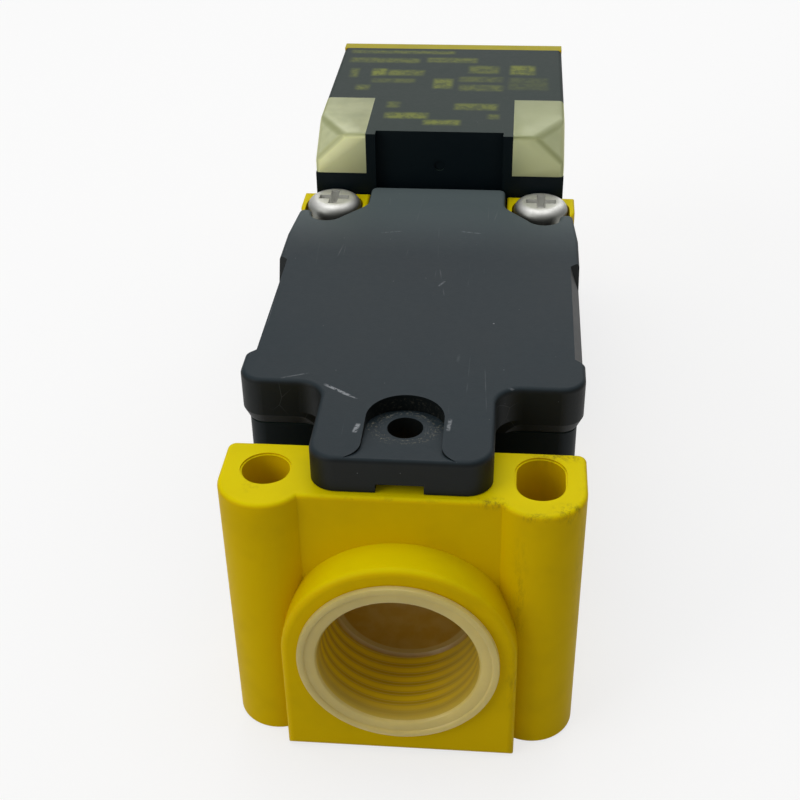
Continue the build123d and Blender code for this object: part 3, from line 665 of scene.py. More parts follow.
@dataclass(frozen=True)
class DarkPlastic:
    """Moulded plastic with fine grain, dust and painted sheen on its upper faces, speckles and light
    scratches.
    """

    name: str
    body: Colour
    dust_and_sheen: Colour
    roughness: float = 0.5
    grain_mm: float = 0.28
    grain_depth_mm: float = 0.02
    dust: float = 0.25
    speck: Colour = srgb(150, 152, 154)
    large_speck: Colour = srgb(170, 172, 174)
    # share of dust and painted sheen laid on upper faces
    top_dust_and_sheen: float = 0.0
    scratches: float = 0.0
    scratched: Colour = srgb(128, 132, 136)
    sheen_level: float = 0.35
    marks: tuple[Mark, ...] = ()
    mark_z: float = 0.0
    ink: Colour = srgb(134, 142, 44)
    scuffs: tuple[Scuff, ...] = ()
    scuffed: Colour = srgb(150, 154, 158)
    seat: Seat | None = None
    gritty: Colour = srgb(132, 128, 112)
    # painted sheen: upper faces lightened towards the rear, between the two Y values
    rear_sheen_span: tuple[float, float] | None = None
    rear_sheen: Colour = (0.10, 0.128, 0.132)

    def _ink(self, bench: Bench) -> Signal:
        """How much of the faded print shows, 0 outside its patches.

        Args:
            bench: The material's bench.

        Returns:
            The mask.
        """
        worn = bench.noise(1.3, 3.0, 0.7).step(0.36, 0.62)
        patches = [mark.mask(bench) for mark in self.marks]
        covered = reduce(Signal.most, patches)
        return covered * (bench.axes()[2] > (self.mark_z - 0.3) * MM) * (0.4 + worn * 0.6)

    def _dusted(self, bench: Bench, cloud: Signal, up: Signal) -> Signal:
        """Plain plastic with its dust, painted sheen and specks.

        Args:
            bench: The material's bench.
            cloud: Broad patches, from 0 to 1.
            up: 1 on faces that look up.

        Returns:
            The colour.
        """
        colour = bench.mix(cloud.step(0.3, 0.75) * self.dust * 0.5, self.body, self.dust_and_sheen)
        # upper faces lightened: settled dust together with painted sheen
        if self.top_dust_and_sheen:
            colour = bench.mix(up * (0.8 + cloud * 0.4) * self.top_dust_and_sheen, colour, self.dust_and_sheen)
        # painted sheen on the upper faces towards the rear
        if self.rear_sheen_span is not None:
            rear_sheen_mask = bench.axes()[1].step(self.rear_sheen_span[0] * MM, self.rear_sheen_span[1] * MM)
            colour = bench.mix(rear_sheen_mask * up, colour, self.rear_sheen)
        colour = bench.mix(bench.specks(1.5, 0.055, 0.3) * self.dust * 1.2, colour, self.speck)
        return bench.mix(bench.specks(4.4, 0.03, 0.35) * self.dust * 2.0, colour, self.large_speck)

    @staticmethod
    def _scratched(bench: Bench) -> Signal:
        """1 along fine scratches, which run together in a few patches.

        Args:
            bench: The material's bench.

        Returns:
            The mask.
        """
        turned = bench.node(
            "ShaderNodeMapping",
            {"vector_type": "POINT"},
            {"Vector": bench.places(), "Rotation": (0.0, 0.0, 0.7), "Scale": (1.0, 0.06, 1.0)},
        )
        lines = bench.node(
            "ShaderNodeTexVoronoi",
            {"feature": "DISTANCE_TO_EDGE"},
            {"Vector": turned, "Scale": 260.0},
            output="Distance",
        )
        return (1.0 - lines.step(0.0, 0.01)) * bench.noise(11.0, 2.0).step(0.6, 0.7)

    def build(self) -> bpy.types.Material:
        """Puts the nodes together."""
        bench = Bench(self.name)
        cloud = bench.noise(14.0, 4.0, 0.6)
        up = bench.facing_up()
        colour = self._dusted(bench, cloud, up)
        rough = self.roughness + cloud * 0.1 + bench.noise(0.9, 3.0, 0.6) * 0.08
        if self.scratches:
            scratch = self._scratched(bench)
            colour = bench.mix(scratch * self.scratches, colour, self.scratched)
            rough = rough - scratch * 0.1
        broken = bench.noise(0.5, 3.0, 0.7).step(0.34, 0.55)
        for scuff in self.scuffs:
            colour = bench.mix(scuff.mask(bench) * broken * up, colour, self.scuffed)
        if self.seat is not None:
            colour = bench.mix(self.seat.mask(bench) * 0.55, colour, self.gritty)
        if self.marks:
            colour = bench.mix(self._ink(bench), colour, self.ink)
        return bench.surface(
            Base_Color=colour,
            Roughness=rough,
            Normal=bench.bump(bench.noise(self.grain_mm, 2.0, 0.65), self.grain_depth_mm, 0.55),
            Specular_IOR_Level=self.sheen_level,
        )


@dataclass(frozen=True)
class MilkyPlastic:
    """Translucent moulded plastic with soft depth, a little cloudiness and, where set, a painted glow."""

    name: str
    body: Colour
    shade: Colour
    roughness: float = 0.3
    see_through: float = 0.35
    depth_m: float = 0.003
    sheen_level: float = 0.4
    # painted glow: the surface colour given off as light, standing in for light carried through the plastic
    painted_glow: float = 0.0

    def _colour(self, bench: Bench) -> Any:
        """Colour over the surface.

        Args:
            bench: The material's bench.

        Returns:
            The colour.
        """
        cloud = bench.noise(5.0, 3.0)
        return bench.mix(cloud.step(0.3, 0.75) * 0.6, self.body, self.shade)

    def build(self) -> bpy.types.Material:
        """Puts the nodes together."""
        bench = Bench(self.name)
        colour = self._colour(bench)
        return bench.surface(
            Base_Color=colour,
            # painted glow in the surface colour
            Emission_Color=colour,
            Emission_Strength=self.painted_glow,
            Roughness=self.roughness + bench.noise(3.0, 3.0) * 0.1,
            Normal=bench.bump(bench.noise(0.5, 2.0), 0.01, 0.4),
            Transmission_Weight=self.see_through,
            IOR=1.5,
            Specular_IOR_Level=self.sheen_level,
            Subsurface_Weight=0.3,
            Subsurface_Radius=(1.0, 0.9, 0.6),
            Subsurface_Scale=self.depth_m,
        )


@dataclass(frozen=True)
class WindowPlastic(MilkyPlastic):
    """Milky window plastic, olive along its ridges, with painted light where it looks rearward and on its
    outer sides, and painted shade on the right-hand window.
    """

    name: str = "window_plastic"
    body: Colour = (0.50, 0.52, 0.31)
    shade: Colour = (0.34, 0.37, 0.20)
    roughness: float = 0.3
    see_through: float = 0.05
    depth_m: float = 0.0008
    sheen_level: float = 0.2
    # painted light: paler colour for faces that look rearward and for the outer sides
    painted_light: Colour = (0.93, 0.94, 0.52)
    ridge: Colour = (0.17, 0.19, 0.06)
    form: WindowForm = WindowForm()
    soft: float = 0.75
    # share of painted shade laid over the right-hand window
    painted_darkening: float = 0.65
    # painted glow of the window
    painted_glow: float = 0.12

    def _ridges(self, bench: Bench) -> Signal:
        """1 along the edges where two of the window's outer planes meet.

        Args:
            bench: The material's bench.

        Returns:
            The mask.
        """
        x, y, z = bench.axes()
        cut = Vector([1 / reach for reach in self.form.facet])
        near_x = self.form.outer_x * MM - x.size()
        near_y = y - self.form.rear_y * MM
        near_z = self.form.top_z * MM - z
        facet = (near_x * cut.x + near_y * cut.y + near_z * cut.z - MM) / cut.length
        gaps = [near_x.size(), near_y.size(), near_z.size(), facet.size()]
        pairs = [first.most(second) for first, second in combinations(gaps, 2)]
        return 1.0 - reduce(Signal.least, pairs).step(0.15 * MM, self.soft * MM)

    def _colour(self, bench: Bench) -> Any:
        """Colour over the window's faces.

        Args:
            bench: The material's bench.

        Returns:
            The colour.
        """
        across, along, _ = bench.facing()
        cloud = bench.noise(3.2, 3.0)
        colour = bench.mix(cloud.step(0.3, 0.75) * 0.6, self.body, self.shade)
        # painted light: faces that look rearward paler
        colour = bench.mix((0.0 - along).step(*LEAN), colour, self.painted_light)
        # painted shade: the right-hand window darker
        colour = bench.mix((bench.axes()[0] > 0.0) * self.painted_darkening, colour, self.shade)
        # painted light: the outer sides paler
        colour = bench.mix(across.size().step(0.6, 0.98), colour, self.painted_light)
        return bench.mix(self._ridges(bench) * 0.6, colour, self.ridge)


@dataclass(frozen=True)
class PlugPlastic(MilkyPlastic):
    """Milky plug plastic, with the thread behind it showing through its cup as slanted bands, and painted
    light and shade over the cup and flange.
    """

    name: str = "plug_plastic"
    body: Colour = (0.95, 0.76, 0.24)
    shade: Colour = (0.76, 0.61, 0.20)
    # milky veil near the mouth, also used as painted light on the right of the cup
    veil_and_painted_light: Colour = (0.66, 0.50, 0.09)
    # band_light and band_dark: the yellow thread seen through the wall, its turns lighter and painted shade
    # between them
    band_light: Colour = (0.95, 0.66, 0.01)
    band_dark: Colour = (0.60, 0.37, 0.004)
    floor: Colour = (0.42, 0.23, 0.016)
    floor_ring: Colour = (0.58, 0.44, 0.16)
    form: PlugForm = PlugForm()
    # painted glow of the plug
    painted_glow: float = 0.02

    def _wall(self, bench: Bench) -> Signal:
        """Colour of the cup's wall: slanted bands with painted shade between them, milkier at the mouth,
        with painted light on the right and painted shade towards the top.

        Args:
            bench: The material's bench.

        Returns:
            The colour.
        """
        x, y, z = bench.axes()
        form = self.form
        wave = bench.thread(form.axis_z, form.mouth_y, form.pitch)
        # the thread's turns seen through the wall, with painted shade between them
        wall = bench.mix(wave.step(0.2, 0.8), self.band_dark, self.band_light)
        wall = bench.mix((1.0 - (wave - 0.3).size().step(0.03, 0.12)) * 0.3, wall, self.body)
        mouth = (1.0 - (y - form.mouth_y * MM).step(0.9 * MM, 3.6 * MM)) * 0.8
        # painted light: the right of the cup's wall lightened
        right = x.step(2.0 * MM, 8.0 * MM) * 0.5
        wall = bench.mix(mouth.most(right), wall, self.veil_and_painted_light)
        # painted shade: the wall darker towards its top, in the floor's colour
        return bench.mix((z - form.axis_z * MM).step(-2.0 * MM, 8.0 * MM) * 0.6, wall, self.floor)

    def _floor(self, bench: Bench, radius: Signal) -> Signal:
        """Colour of the cup's floor, with a pale ring near its edge.

        Args:
            bench: The material's bench.
            radius: Distance from the plug's axis in metres.

        Returns:
            The colour.
        """
        cloud = bench.noise(2.5, 3.0).step(0.35, 0.7)
        floor = bench.mix(cloud * 0.3, self.floor, self.floor_ring)
        ring = 1.0 - (radius - (self.form.cup_r - 0.7) * MM).size().step(0.25 * MM, 0.6 * MM)
        return bench.mix(ring * 0.8, floor, self.floor_ring)

    def _colour(self, bench: Bench) -> Any:
        """Colour over the flange, the cup's wall and its floor.

        Args:
            bench: The material's bench.

        Returns:
            The colour.
        """
        x, y, _ = bench.axes()
        radius = bench.bore(self.form.axis_z)
        # painted shade: the left of the flange darker; the noise adds random tone
        left = 1.0 - x.step(-9.0 * MM, 6.0 * MM)
        shaded = (bench.noise(5.0, 3.0).step(0.3, 0.75) * 0.5 + left * 0.7).least(1.0)
        flange = bench.mix(shaded, self.body, self.shade)
        deepest = y > (self.form.floor_y - 0.25) * MM
        inside = bench.mix(deepest, self._wall(bench), self._floor(bench, radius))
        return bench.mix(radius < (self.form.cup_r + 0.12) * MM, flange, inside)


@dataclass(frozen=True)
class PlatedMetal:
    """Metal with fine tool marks, rubbed spots and slight tarnish, and where flank is set, a painted dark
    reflection on a screw head's sides.
    """

    name: str
    body: Colour
    tarnish: Colour
    roughness: float = 0.22
    tarnish_share: float = 0.3
    thread_mm: float = 0.0
    # flank: strength of a painted dark reflection on the screw heads' sides, between the radii in flank_r
    flank: float = 0.0
    flank_r: tuple[float, float] = (1.9, 2.5)
    painted_darkening: Colour = srgb(122, 124, 118)
    screw_x: float = 15.0
    screw_y: float = 12.6

    def build(self) -> bpy.types.Material:
        """Puts the nodes together."""
        bench = Bench(self.name)
        cloud = bench.noise(1.6, 4.0, 0.6)
        fine = bench.noise(0.18, 3.0, 0.7)
        colour = bench.mix(cloud.step(0.42, 0.72) * self.tarnish_share, self.body, self.tarnish)
        rough = self.roughness + cloud * 0.14 + fine * 0.08
        normal = bench.bump(fine, 0.006, 0.4)
        # painted reflection: the sides of the screw heads darkened as if mirroring the dark cover
        if self.flank:
            x, y, _ = bench.axes()
            away = (x.size() - self.screw_x * MM).reach(y - self.screw_y * MM)
            outer = away.step(*(radius * MM for radius in self.flank_r))
            colour = bench.mix((1.0 - bench.facing_up()) * outer * self.flank, colour, self.painted_darkening)
        if self.thread_mm:
            turns = ((bench.axes()[2] / (self.thread_mm * MM)).fraction() - 0.5).size() * 2.0
            colour = bench.mix((1.0 - turns) * 0.5, colour, self.tarnish)
            normal = bench.bump(turns, self.thread_mm * 0.5, 0.8, normal)
        return bench.surface(Base_Color=colour, Roughness=rough, Metallic=1.0, Normal=normal)


@dataclass(frozen=True)
class SoftRubber:
    """Dull black rubber with a dusty bloom."""

    name: str = "gasket_rubber"
    body: Colour = srgb(26, 26, 27)
    bloom: Colour = srgb(70, 70, 70)

    def build(self) -> bpy.types.Material:
        """Puts the nodes together."""
        bench = Bench(self.name)
        cloud = bench.noise(3.0, 4.0)
        colour = bench.mix(cloud.step(0.4, 0.8) * 0.4, self.body, self.bloom)
        return bench.surface(
            Base_Color=colour,
            Roughness=0.75 + cloud * 0.1,
            Normal=bench.bump(bench.noise(0.3, 2.0), 0.02, 0.5),
        )


@dataclass(frozen=True)
class FiredFerrite:
    """Dark grey ceramic with fine pits."""

    name: str = "ferrite"
    body: Colour = srgb(62, 62, 66)
    pit: Colour = srgb(24, 24, 26)

    def build(self) -> bpy.types.Material:
        """Puts the nodes together."""
        bench = Bench(self.name)
        pits = bench.specks(0.7, 0.16, 0.4)
        cloud = bench.noise(4.0, 4.0)
        colour = bench.mix(pits * 0.8, self.body, self.pit)
        return bench.surface(
            Base_Color=colour,
            Roughness=0.55 + cloud * 0.15,
            Normal=bench.bump(1.0 - pits, 0.03, 0.6),
        )


@dataclass(frozen=True)
class CopperWinding:
    """Enamelled copper wire in close turns round the Y axis."""

    name: str = "coil_wire"
    body: Colour = srgb(196, 104, 52)
    gap: Colour = srgb(70, 28, 12)
    wire_mm: float = 0.42

    def build(self) -> bpy.types.Material:
        """Puts the nodes together."""
        bench = Bench(self.name)
        along = bench.axes()[1]
        turns = (along * (math.pi / (self.wire_mm * MM))).sine().size()
        colour = bench.mix(turns.step(0.1, 0.55), self.gap, self.body)
        return bench.surface(
            Base_Color=colour,
            Roughness=0.3 + bench.noise(1.0, 3.0) * 0.12,
            Metallic=0.8,
            Normal=bench.bump(turns, 0.15, 0.8),
        )


@dataclass(frozen=True)
class BoardLaminate:
    """Green solder mask with straight traces and pads under it."""

    name: str = "board_laminate"
    mask: Colour = srgb(20, 92, 48)
    trace: Colour = srgb(52, 140, 80)
    pitch_mm: float = 2.54

    def build(self) -> bpy.types.Material:
        """Puts the nodes together."""
        bench = Bench(self.name)
        x, _, z = bench.axes()
        column = (x / (self.pitch_mm * MM)).fraction().size()
        row = (z / (self.pitch_mm * 1.5 * MM)).fraction().size()
        where = bench.noise(6.0, 1.0)
        lines = ((column < 0.22) * (where > 0.52)).most((row < 0.16) * (where < 0.46))
        colour = bench.mix(lines * 0.85, self.mask, self.trace)
        return bench.surface(
            Base_Color=colour,
            Roughness=0.35 + bench.noise(2.0, 3.0) * 0.1,
            Normal=bench.bump(lines, 0.04, 0.6),
        )


HEAD_MARKS = (
    Mark(-16.7, 0.5, 51.9, 53.3, 0.45),
    Mark(-16.5, -5.1, 47.4, 49.6, 0.4),
    Mark(-3.8, 4.3, 47.8, 50.0, 0.45),
    Mark(-12.3, -10.0, 41.3, 44.5, 0.75),
    Mark(-9.8, -4.0, 41.5, 44.0, 0.5),
    Mark(-15.8, -14.6, 40.4, 44.6, 0.4),
    Mark(-12.0, -5.2, 38.2, 40.0, 0.3),
    Mark(-14.2, -12.2, 34.9, 37.1, 0.5),
    Mark(-2.1, 0.8, 35.9, 40.3, 0.6),
    Mark(3.2, 8.0, 42.9, 46.4, 0.4),
    Mark(1.8, 8.7, 39.0, 41.3, 0.3),
    Mark(2.0, 8.8, 35.1, 37.7, 0.35),
    Mark(9.9, 13.8, 42.5, 46.7, 0.65),
    Mark(9.7, 15.8, 35.8, 41.1, 0.18),
    Mark(-8.6, -6.7, 27.6, 30.0, 0.35),
    Mark(-8.5, -2.1, 23.3, 25.6, 0.65),
    Mark(-2.6, 2.8, 21.0, 22.9, 0.65),
    Mark(1.7, 8.2, 27.1, 29.6, 0.5),
    Mark(6.8, 8.4, 23.6, 25.4, 0.45),
)

COVER_SCUFFS = (
    Scuff(-8.1, -38.1, 2.2, 0.28, -34.0, 0.75),
    Scuff(-6.6, -39.2, 1.2, 0.16, -28.0, 0.5),
    Scuff(-5.1, -45.4, 1.0, 0.35, 80.0, 0.8),
    Scuff(4.9, -44.2, 1.3, 0.3, 86.0, 0.55),
    Scuff(12.4, -36.8, 1.4, 0.2, -12.0, 0.3),
    Scuff(-13.4, -35.4, 1.8, 0.16, 22.0, 0.25),
    Scuff(-5.6, 1.8, 1.6, 0.16, 12.0, 0.25),
    Scuff(5.4, 2.2, 1.6, 0.16, -10.0, 0.3),
    Scuff(2.2, -12.6, 0.9, 0.2, 60.0, 0.3),
)


class Finishes:
    """All finishes of the sensor, built once, by material slot."""

    def __init__(self) -> None:
        """Builds every finish."""
        grey, grey_dust = srgb(122, 126, 130), srgb(160, 163, 165)
        nylon, nylon_dust = srgb(214, 208, 190), srgb(190, 182, 160)
        recipes = {
            "yellow_plastic": YellowPlastic(grime=(
                Grime(19.9, -49.0, 24.0, 6.0, 0.4, Vector((3.0, 1.0, 0.4))),
                Grime(13.0, -53.6, 22.0, 1.6, 0.3, Vector((1.0, 1.0, 0.12))),
                Grime(14.2, -54.0, 33.5, 1.6, 0.9, Vector((0.6, 1.6, 1.6))),
                Grime(18.6, -52.8, 33.4, 2.4, 0.95, Vector((0.7, 1.2, 1.4))),
                Grime(9.9, -51.9, 33.5, 1.9, 0.95, Vector((0.7, 1.4, 1.8))),
                Grime(17.5, -42.9, 33.5, 3.0, 0.8, Vector((0.5, 1.6, 1.6))),
                Grime(-16.0, -50.6, 33.6, 2.0, 0.22),
                Grime(12.6, -55.9, 12.0, 1.5, 0.5, Vector((1.0, 1.0, 0.2))),
            )),
            "slate_plastic": DarkPlastic(
                "slate_plastic", (0.0025, 0.004, 0.0036), (0.014, 0.026, 0.034), 0.44,
                dust=0.24, top_dust_and_sheen=0.75, scratches=0.25, sheen_level=0.22,
                scuffs=COVER_SCUFFS, seat=Seat(0.0, -43.0, 3.4, 37.6), rear_sheen_span=(-6.0, 17.0),
            ),
            "black_plastic": DarkPlastic(
                "black_plastic", (0.0006, 0.0044, 0.0068), (0.026, 0.043, 0.036), 0.42,
                dust=0.1, top_dust_and_sheen=0.75, sheen_level=0.16, mark_z=46.0, marks=HEAD_MARKS,
            ),
            "plug_plastic": PlugPlastic(),
            "window_plastic": WindowPlastic(),
            "gasket_rubber": SoftRubber(),
            "screw_steel": PlatedMetal(
                "screw_steel", srgb(232, 232, 228), srgb(150, 148, 140), 0.4, 0.2, flank=0.85,
            ),
            "insert_brass": PlatedMetal(
                "insert_brass", srgb(214, 176, 96), srgb(128, 92, 46), 0.28, 0.5, thread_mm=0.7,
            ),
            "contact_brass": PlatedMetal(
                "contact_brass", srgb(222, 196, 132), srgb(160, 128, 72), 0.24, 0.35,
            ),
            "terminal_steel": PlatedMetal(
                "terminal_steel", srgb(196, 198, 200), srgb(120, 122, 122), 0.3, 0.4,
            ),
            "ferrite": FiredFerrite(),
            "former_plastic": DarkPlastic("former_plastic", nylon, nylon_dust, 0.4, dust=0.2),
            "coil_wire": CopperWinding(),
            "board_laminate": BoardLaminate(),
            "component_body": DarkPlastic(
                "component_body", srgb(30, 30, 32), srgb(80, 80, 82), 0.5, dust=0.1,
            ),
            "led_body": MilkyPlastic("led_body", srgb(236, 214, 120), srgb(214, 186, 84), 0.12, 0.5, 0.002),
            "terminal_plastic": DarkPlastic("terminal_plastic", grey, grey_dust, 0.45, dust=0.3),
        }
        self.by_slot = {slot: recipe.build() for slot, recipe in recipes.items()}

    def dress(self, piece: bpy.types.Object, slot: str) -> None:
        """Gives every material slot of a piece one finish.

        Args:
            piece: The piece.
            slot: The finish's material slot.
        """
        if not piece.material_slots:
            piece.data.materials.append(self.by_slot[slot])
        for place in piece.material_slots:
            place.material = self.by_slot[slot]


class Frame:
    """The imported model, dressed by the record's material slots."""

    def __init__(self, frame: dict[str, Any], finishes: Finishes) -> None:
        """Keeps the frame.

        Args:
            frame: What the loader gave.
            finishes: The finishes.
        """
        self.nodes: dict[str, bpy.types.Object] = frame["nodes"]
        self.record: dict[str, Any] = frame["record"]
        self.finishes = finishes

    def dress_nodes(self) -> None:
        """Gives each node the finish of its slot."""
        slots = {part["node"]: part["material_slot"] for part in self.record["subparts"]}
        for name, node in self.nodes.items():
            self.finishes.dress(node, slots[name])
            log.info("node %s wears %s", name, slots[name])


def spun(mesh: bmesh.types.BMesh, profile: Sequence[tuple[float, float]], axis_z: float, steps: int) -> None:
    """Turns a profile round a line along Y.

    Args:
        mesh: The mesh that the shape is made in.
        profile: Radius and Y of each point in millimetres, from the axis to the axis.
        axis_z: Height of the line in millimetres.
        steps: Steps in the full turn.
    """
    points = [mesh.verts.new((radius * MM, y * MM, axis_z * MM)) for radius, y in profile]
    edges = [mesh.edges.new(pair) for pair in zip(points, points[1:])]
    bmesh.ops.spin(
        mesh,
        geom=points + edges,
        cent=(0.0, 0.0, axis_z * MM),
        axis=(0.0, 1.0, 0.0),
        angle=2 * math.pi,
        steps=steps,
        use_merge=True,
    )
    bmesh.ops.remove_doubles(mesh, verts=mesh.verts, dist=1e-7)
    bmesh.ops.recalc_face_normals(mesh, faces=mesh.faces)


def made(mesh: bmesh.types.BMesh, name: str, smooth_deg: float = 35.0) -> bpy.types.Object:
    """Makes an object of a mesh, at the origin.

    Args:
        mesh: The mesh, which is freed.
        name: The piece's name.
        smooth_deg: Angle up to which neighbouring faces shade as one.

    Returns:
        The piece.
    """
    for face in mesh.faces:
        face.smooth = True
    for edge in mesh.edges:
        if edge.is_manifold and edge.calc_face_angle(0.0) > math.radians(smooth_deg):
            edge.smooth = False
    data = bpy.data.meshes.new(name)
    mesh.to_mesh(data)
    mesh.free()
    piece = bpy.data.objects.new(name, data)
    bpy.context.scene.collection.objects.link(piece)
    return piece


@dataclass
class EntryPlug:
    """Blanking plug: stepped flange, thin cup and thread rings round its stem. Millimetres."""

    form: PlugForm = PlugForm()
    flange_r: float = 11.3
    lip_r: float = 10.55
    step: float = 0.22
    stem_r: float = 9.86
    root_r: float = 9.36
    run_in: float = 0.9
    run_out: float = 0.4
    end_edge: float = 0.3
    steps: int = 144

    def _cup_and_flange(self) -> list[tuple[float, float]]:
        """Outline from the cup's floor over the flange to the stem."""
        cup, face, floor, boss = self.form.cup_r, self.form.mouth_y, self.form.floor_y, self.form.boss_y
        return [
            (0.0, floor),
            (cup - 1.3, floor),
            (cup - 1.1, floor + 0.12),
            (cup - 0.45, floor + 0.1),
            (cup - 0.08, floor - 0.25),
            (cup, floor - 0.7),
            (cup, face + 1.5),
            (cup + 0.12, face + 0.55),
            (cup + 0.32, face + self.step + 0.06),
            (cup + 0.5, face + self.step),
            (self.lip_r - 0.12, face + self.step),
            (self.lip_r, face + 0.04),
            (self.lip_r + 0.1, face),
            (self.flange_r - 0.22, face),
            (self.flange_r - 0.06, face + 0.08),
            (self.flange_r, face + 0.26),
            (self.flange_r, boss - 0.12),
            (self.flange_r - 0.12, boss),
            (self.stem_r, boss),
        ]

    def profile(self) -> list[tuple[float, float]]:
        """Whole outline, with the thread as rings along the stem."""
        points = self._cup_and_flange()
        end, pitch = self.form.boss_y + self.form.stem, self.form.pitch
        turn = self.form.boss_y + self.run_in
        while turn + pitch < end - self.run_out:
            points += [
                (self.root_r, turn),
                (self.root_r, turn + pitch * 0.18),
                (self.stem_r, turn + pitch * 0.5),
                (self.stem_r, turn + pitch * 0.68),
            ]
            turn += pitch
        edge = self.end_edge
        points += [(self.root_r, turn), (self.root_r, end - edge), (self.root_r - edge, end), (0.0, end)]
        return points

    def build(self, finishes: Finishes) -> bpy.types.Object:
        """Makes the plug and puts it in the place of its node.

        Args:
            finishes: The finishes.

        Returns:
            The plug.
        """
        mesh = bmesh.new()
        spun(mesh, self.profile(), self.form.axis_z, self.steps)
        plug = made(mesh, "plug_body")
        finishes.dress(plug, "plug_plastic")
        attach(plug, "plug")
        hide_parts("entry_plug")
        log.info("plug with %d faces", len(plug.data.polygons))
        return plug


class Side(Enum):
    """Left or right of the sensor, as seen from the cable entry."""

    LEFT = -1
    RIGHT = 1


@dataclass
class LedWindow:
    """Translucent corner of the head over an indicator lamp. Millimetres."""

    side: Side
    form: WindowForm = WindowForm()
    wall: float = 1.6
    edge: float = 0.7
    edge_steps: int = 4

    def _corners(self) -> tuple[Vector, Vector]:
        """Lowest and highest corner of the block in metres."""
        form = self.form
        across = sorted((self.side.value * form.inner_x, self.side.value * form.outer_x))
        low = Vector((across[0], form.rear_y, form.low_z)) * MM
        high = Vector((across[1], form.rear_y + form.length, form.top_z)) * MM
        return low, high

    def _cut_facet(self, mesh: bmesh.types.BMesh) -> None:
        """Cuts the slanted facet off the outer rear corner and closes the cut.

        Args:
            mesh: The window's mesh.
        """
        form = self.form
        corner = Vector((self.side.value * form.outer_x, form.rear_y, form.top_z)) * MM
        on_x = corner - Vector((self.side.value * form.facet[0] * MM, 0.0, 0.0))
        on_y = corner + Vector((0.0, form.facet[1] * MM, 0.0))
        on_z = corner - Vector((0.0, 0.0, form.facet[2] * MM))
        normal = (on_y - on_x).cross(on_z - on_x).normalized()
        if normal.dot(corner - on_x) < 0:
            normal.negate()
        cut = bmesh.ops.bisect_plane(
            mesh,
            geom=mesh.verts[:] + mesh.edges[:] + mesh.faces[:],
            plane_co=on_x,
            plane_no=normal,
            clear_outer=True,
        )
        rim = [item for item in cut["geom_cut"] if isinstance(item, bmesh.types.BMEdge)]
        bmesh.ops.contextual_create(mesh, geom=rim)

    def _hidden(self, mesh: bmesh.types.BMesh) -> list[bmesh.types.BMFace]:
        """Faces that lie against the head.

        Args:
            mesh: The window's mesh.

        Returns:
            The inner, front and lower faces.
        """
        ways = (Vector((-self.side.value, 0, 0)), Vector((0, 1, 0)), Vector((0, 0, -1)))
        mesh.normal_update()
        return [face for face in mesh.faces if any(face.normal.dot(way) > 0.99 for way in ways)]

    def _round_edges(self, mesh: bmesh.types.BMesh) -> None:
        """Rounds the edges between the faces in view.

        Args:
            mesh: The window's mesh.
        """
        back = self._hidden(mesh)
        kept = {edge for face in mesh.faces if face not in back for edge in face.edges}
        seams = [edge for edge in kept if sum(face not in back for face in edge.link_faces) > 1]
        bmesh.ops.bevel(
            mesh,
            geom=seams,
            offset=self.edge * MM,
            offset_type="OFFSET",
            segments=self.edge_steps,
            profile=0.5,
            affect="EDGES",
            material=-1,
            clamp_overlap=True,
        )

    def build(self, finishes: Finishes) -> bpy.types.Object:
        """Makes the window and puts it in the place of its node.

        Args:
            finishes: The finishes.

        Returns:
            The window.
        """
        low, high = self._corners()
        middle = (low + high) / 2
        mesh = bmesh.new()
        bmesh.ops.create_cube(mesh, size=1.0)
        bmesh.ops.scale(mesh, verts=mesh.verts, vec=high - low)
        bmesh.ops.translate(mesh, verts=mesh.verts, vec=middle)
        self._cut_facet(mesh)
        self._round_edges(mesh)
        bmesh.ops.delete(mesh, geom=self._hidden(mesh), context="FACES")
        bmesh.ops.recalc_face_normals(mesh, faces=mesh.faces)
        if sum((face.calc_center_median() - middle).dot(face.normal) for face in mesh.faces) < 0:
            bmesh.ops.reverse_faces(mesh, faces=mesh.faces)
        word = self.side.name.lower()
        window = made(mesh, f"window_{word}")
        shell = window.modifiers.new("wall", "SOLIDIFY")
        shell.thickness = self.wall * MM
        shell.offset = -1.0
        shell.use_even_offset = True
        finishes.dress(window, "window_plastic")
        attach(window, "base")
        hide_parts(f"led_window_{word}")
        log.info("window %s made", word)
        return window


@dataclass
class Lamp:
    """One soft area lamp aimed at a point."""

    name: str
    place: Vector
    target: Vector
    width: float
    height: float
    power: float
    colour: Colour = (1.0, 1.0, 1.0)

    def build(self) -> bpy.types.Object:
        """Hangs the lamp."""
        data = bpy.data.lights.new(self.name, "AREA")
        data.shape = "RECTANGLE"
        data.size = self.width
        data.size_y = self.height
        data.energy = self.power
        data.color = self.colour
        lamp = bpy.data.objects.new(self.name, data)
        lamp.location = self.place
        lamp.rotation_euler = (self.target - self.place).to_track_quat("-Z", "Y").to_euler()
        bpy.context.scene.collection.objects.link(lamp)
        return lamp


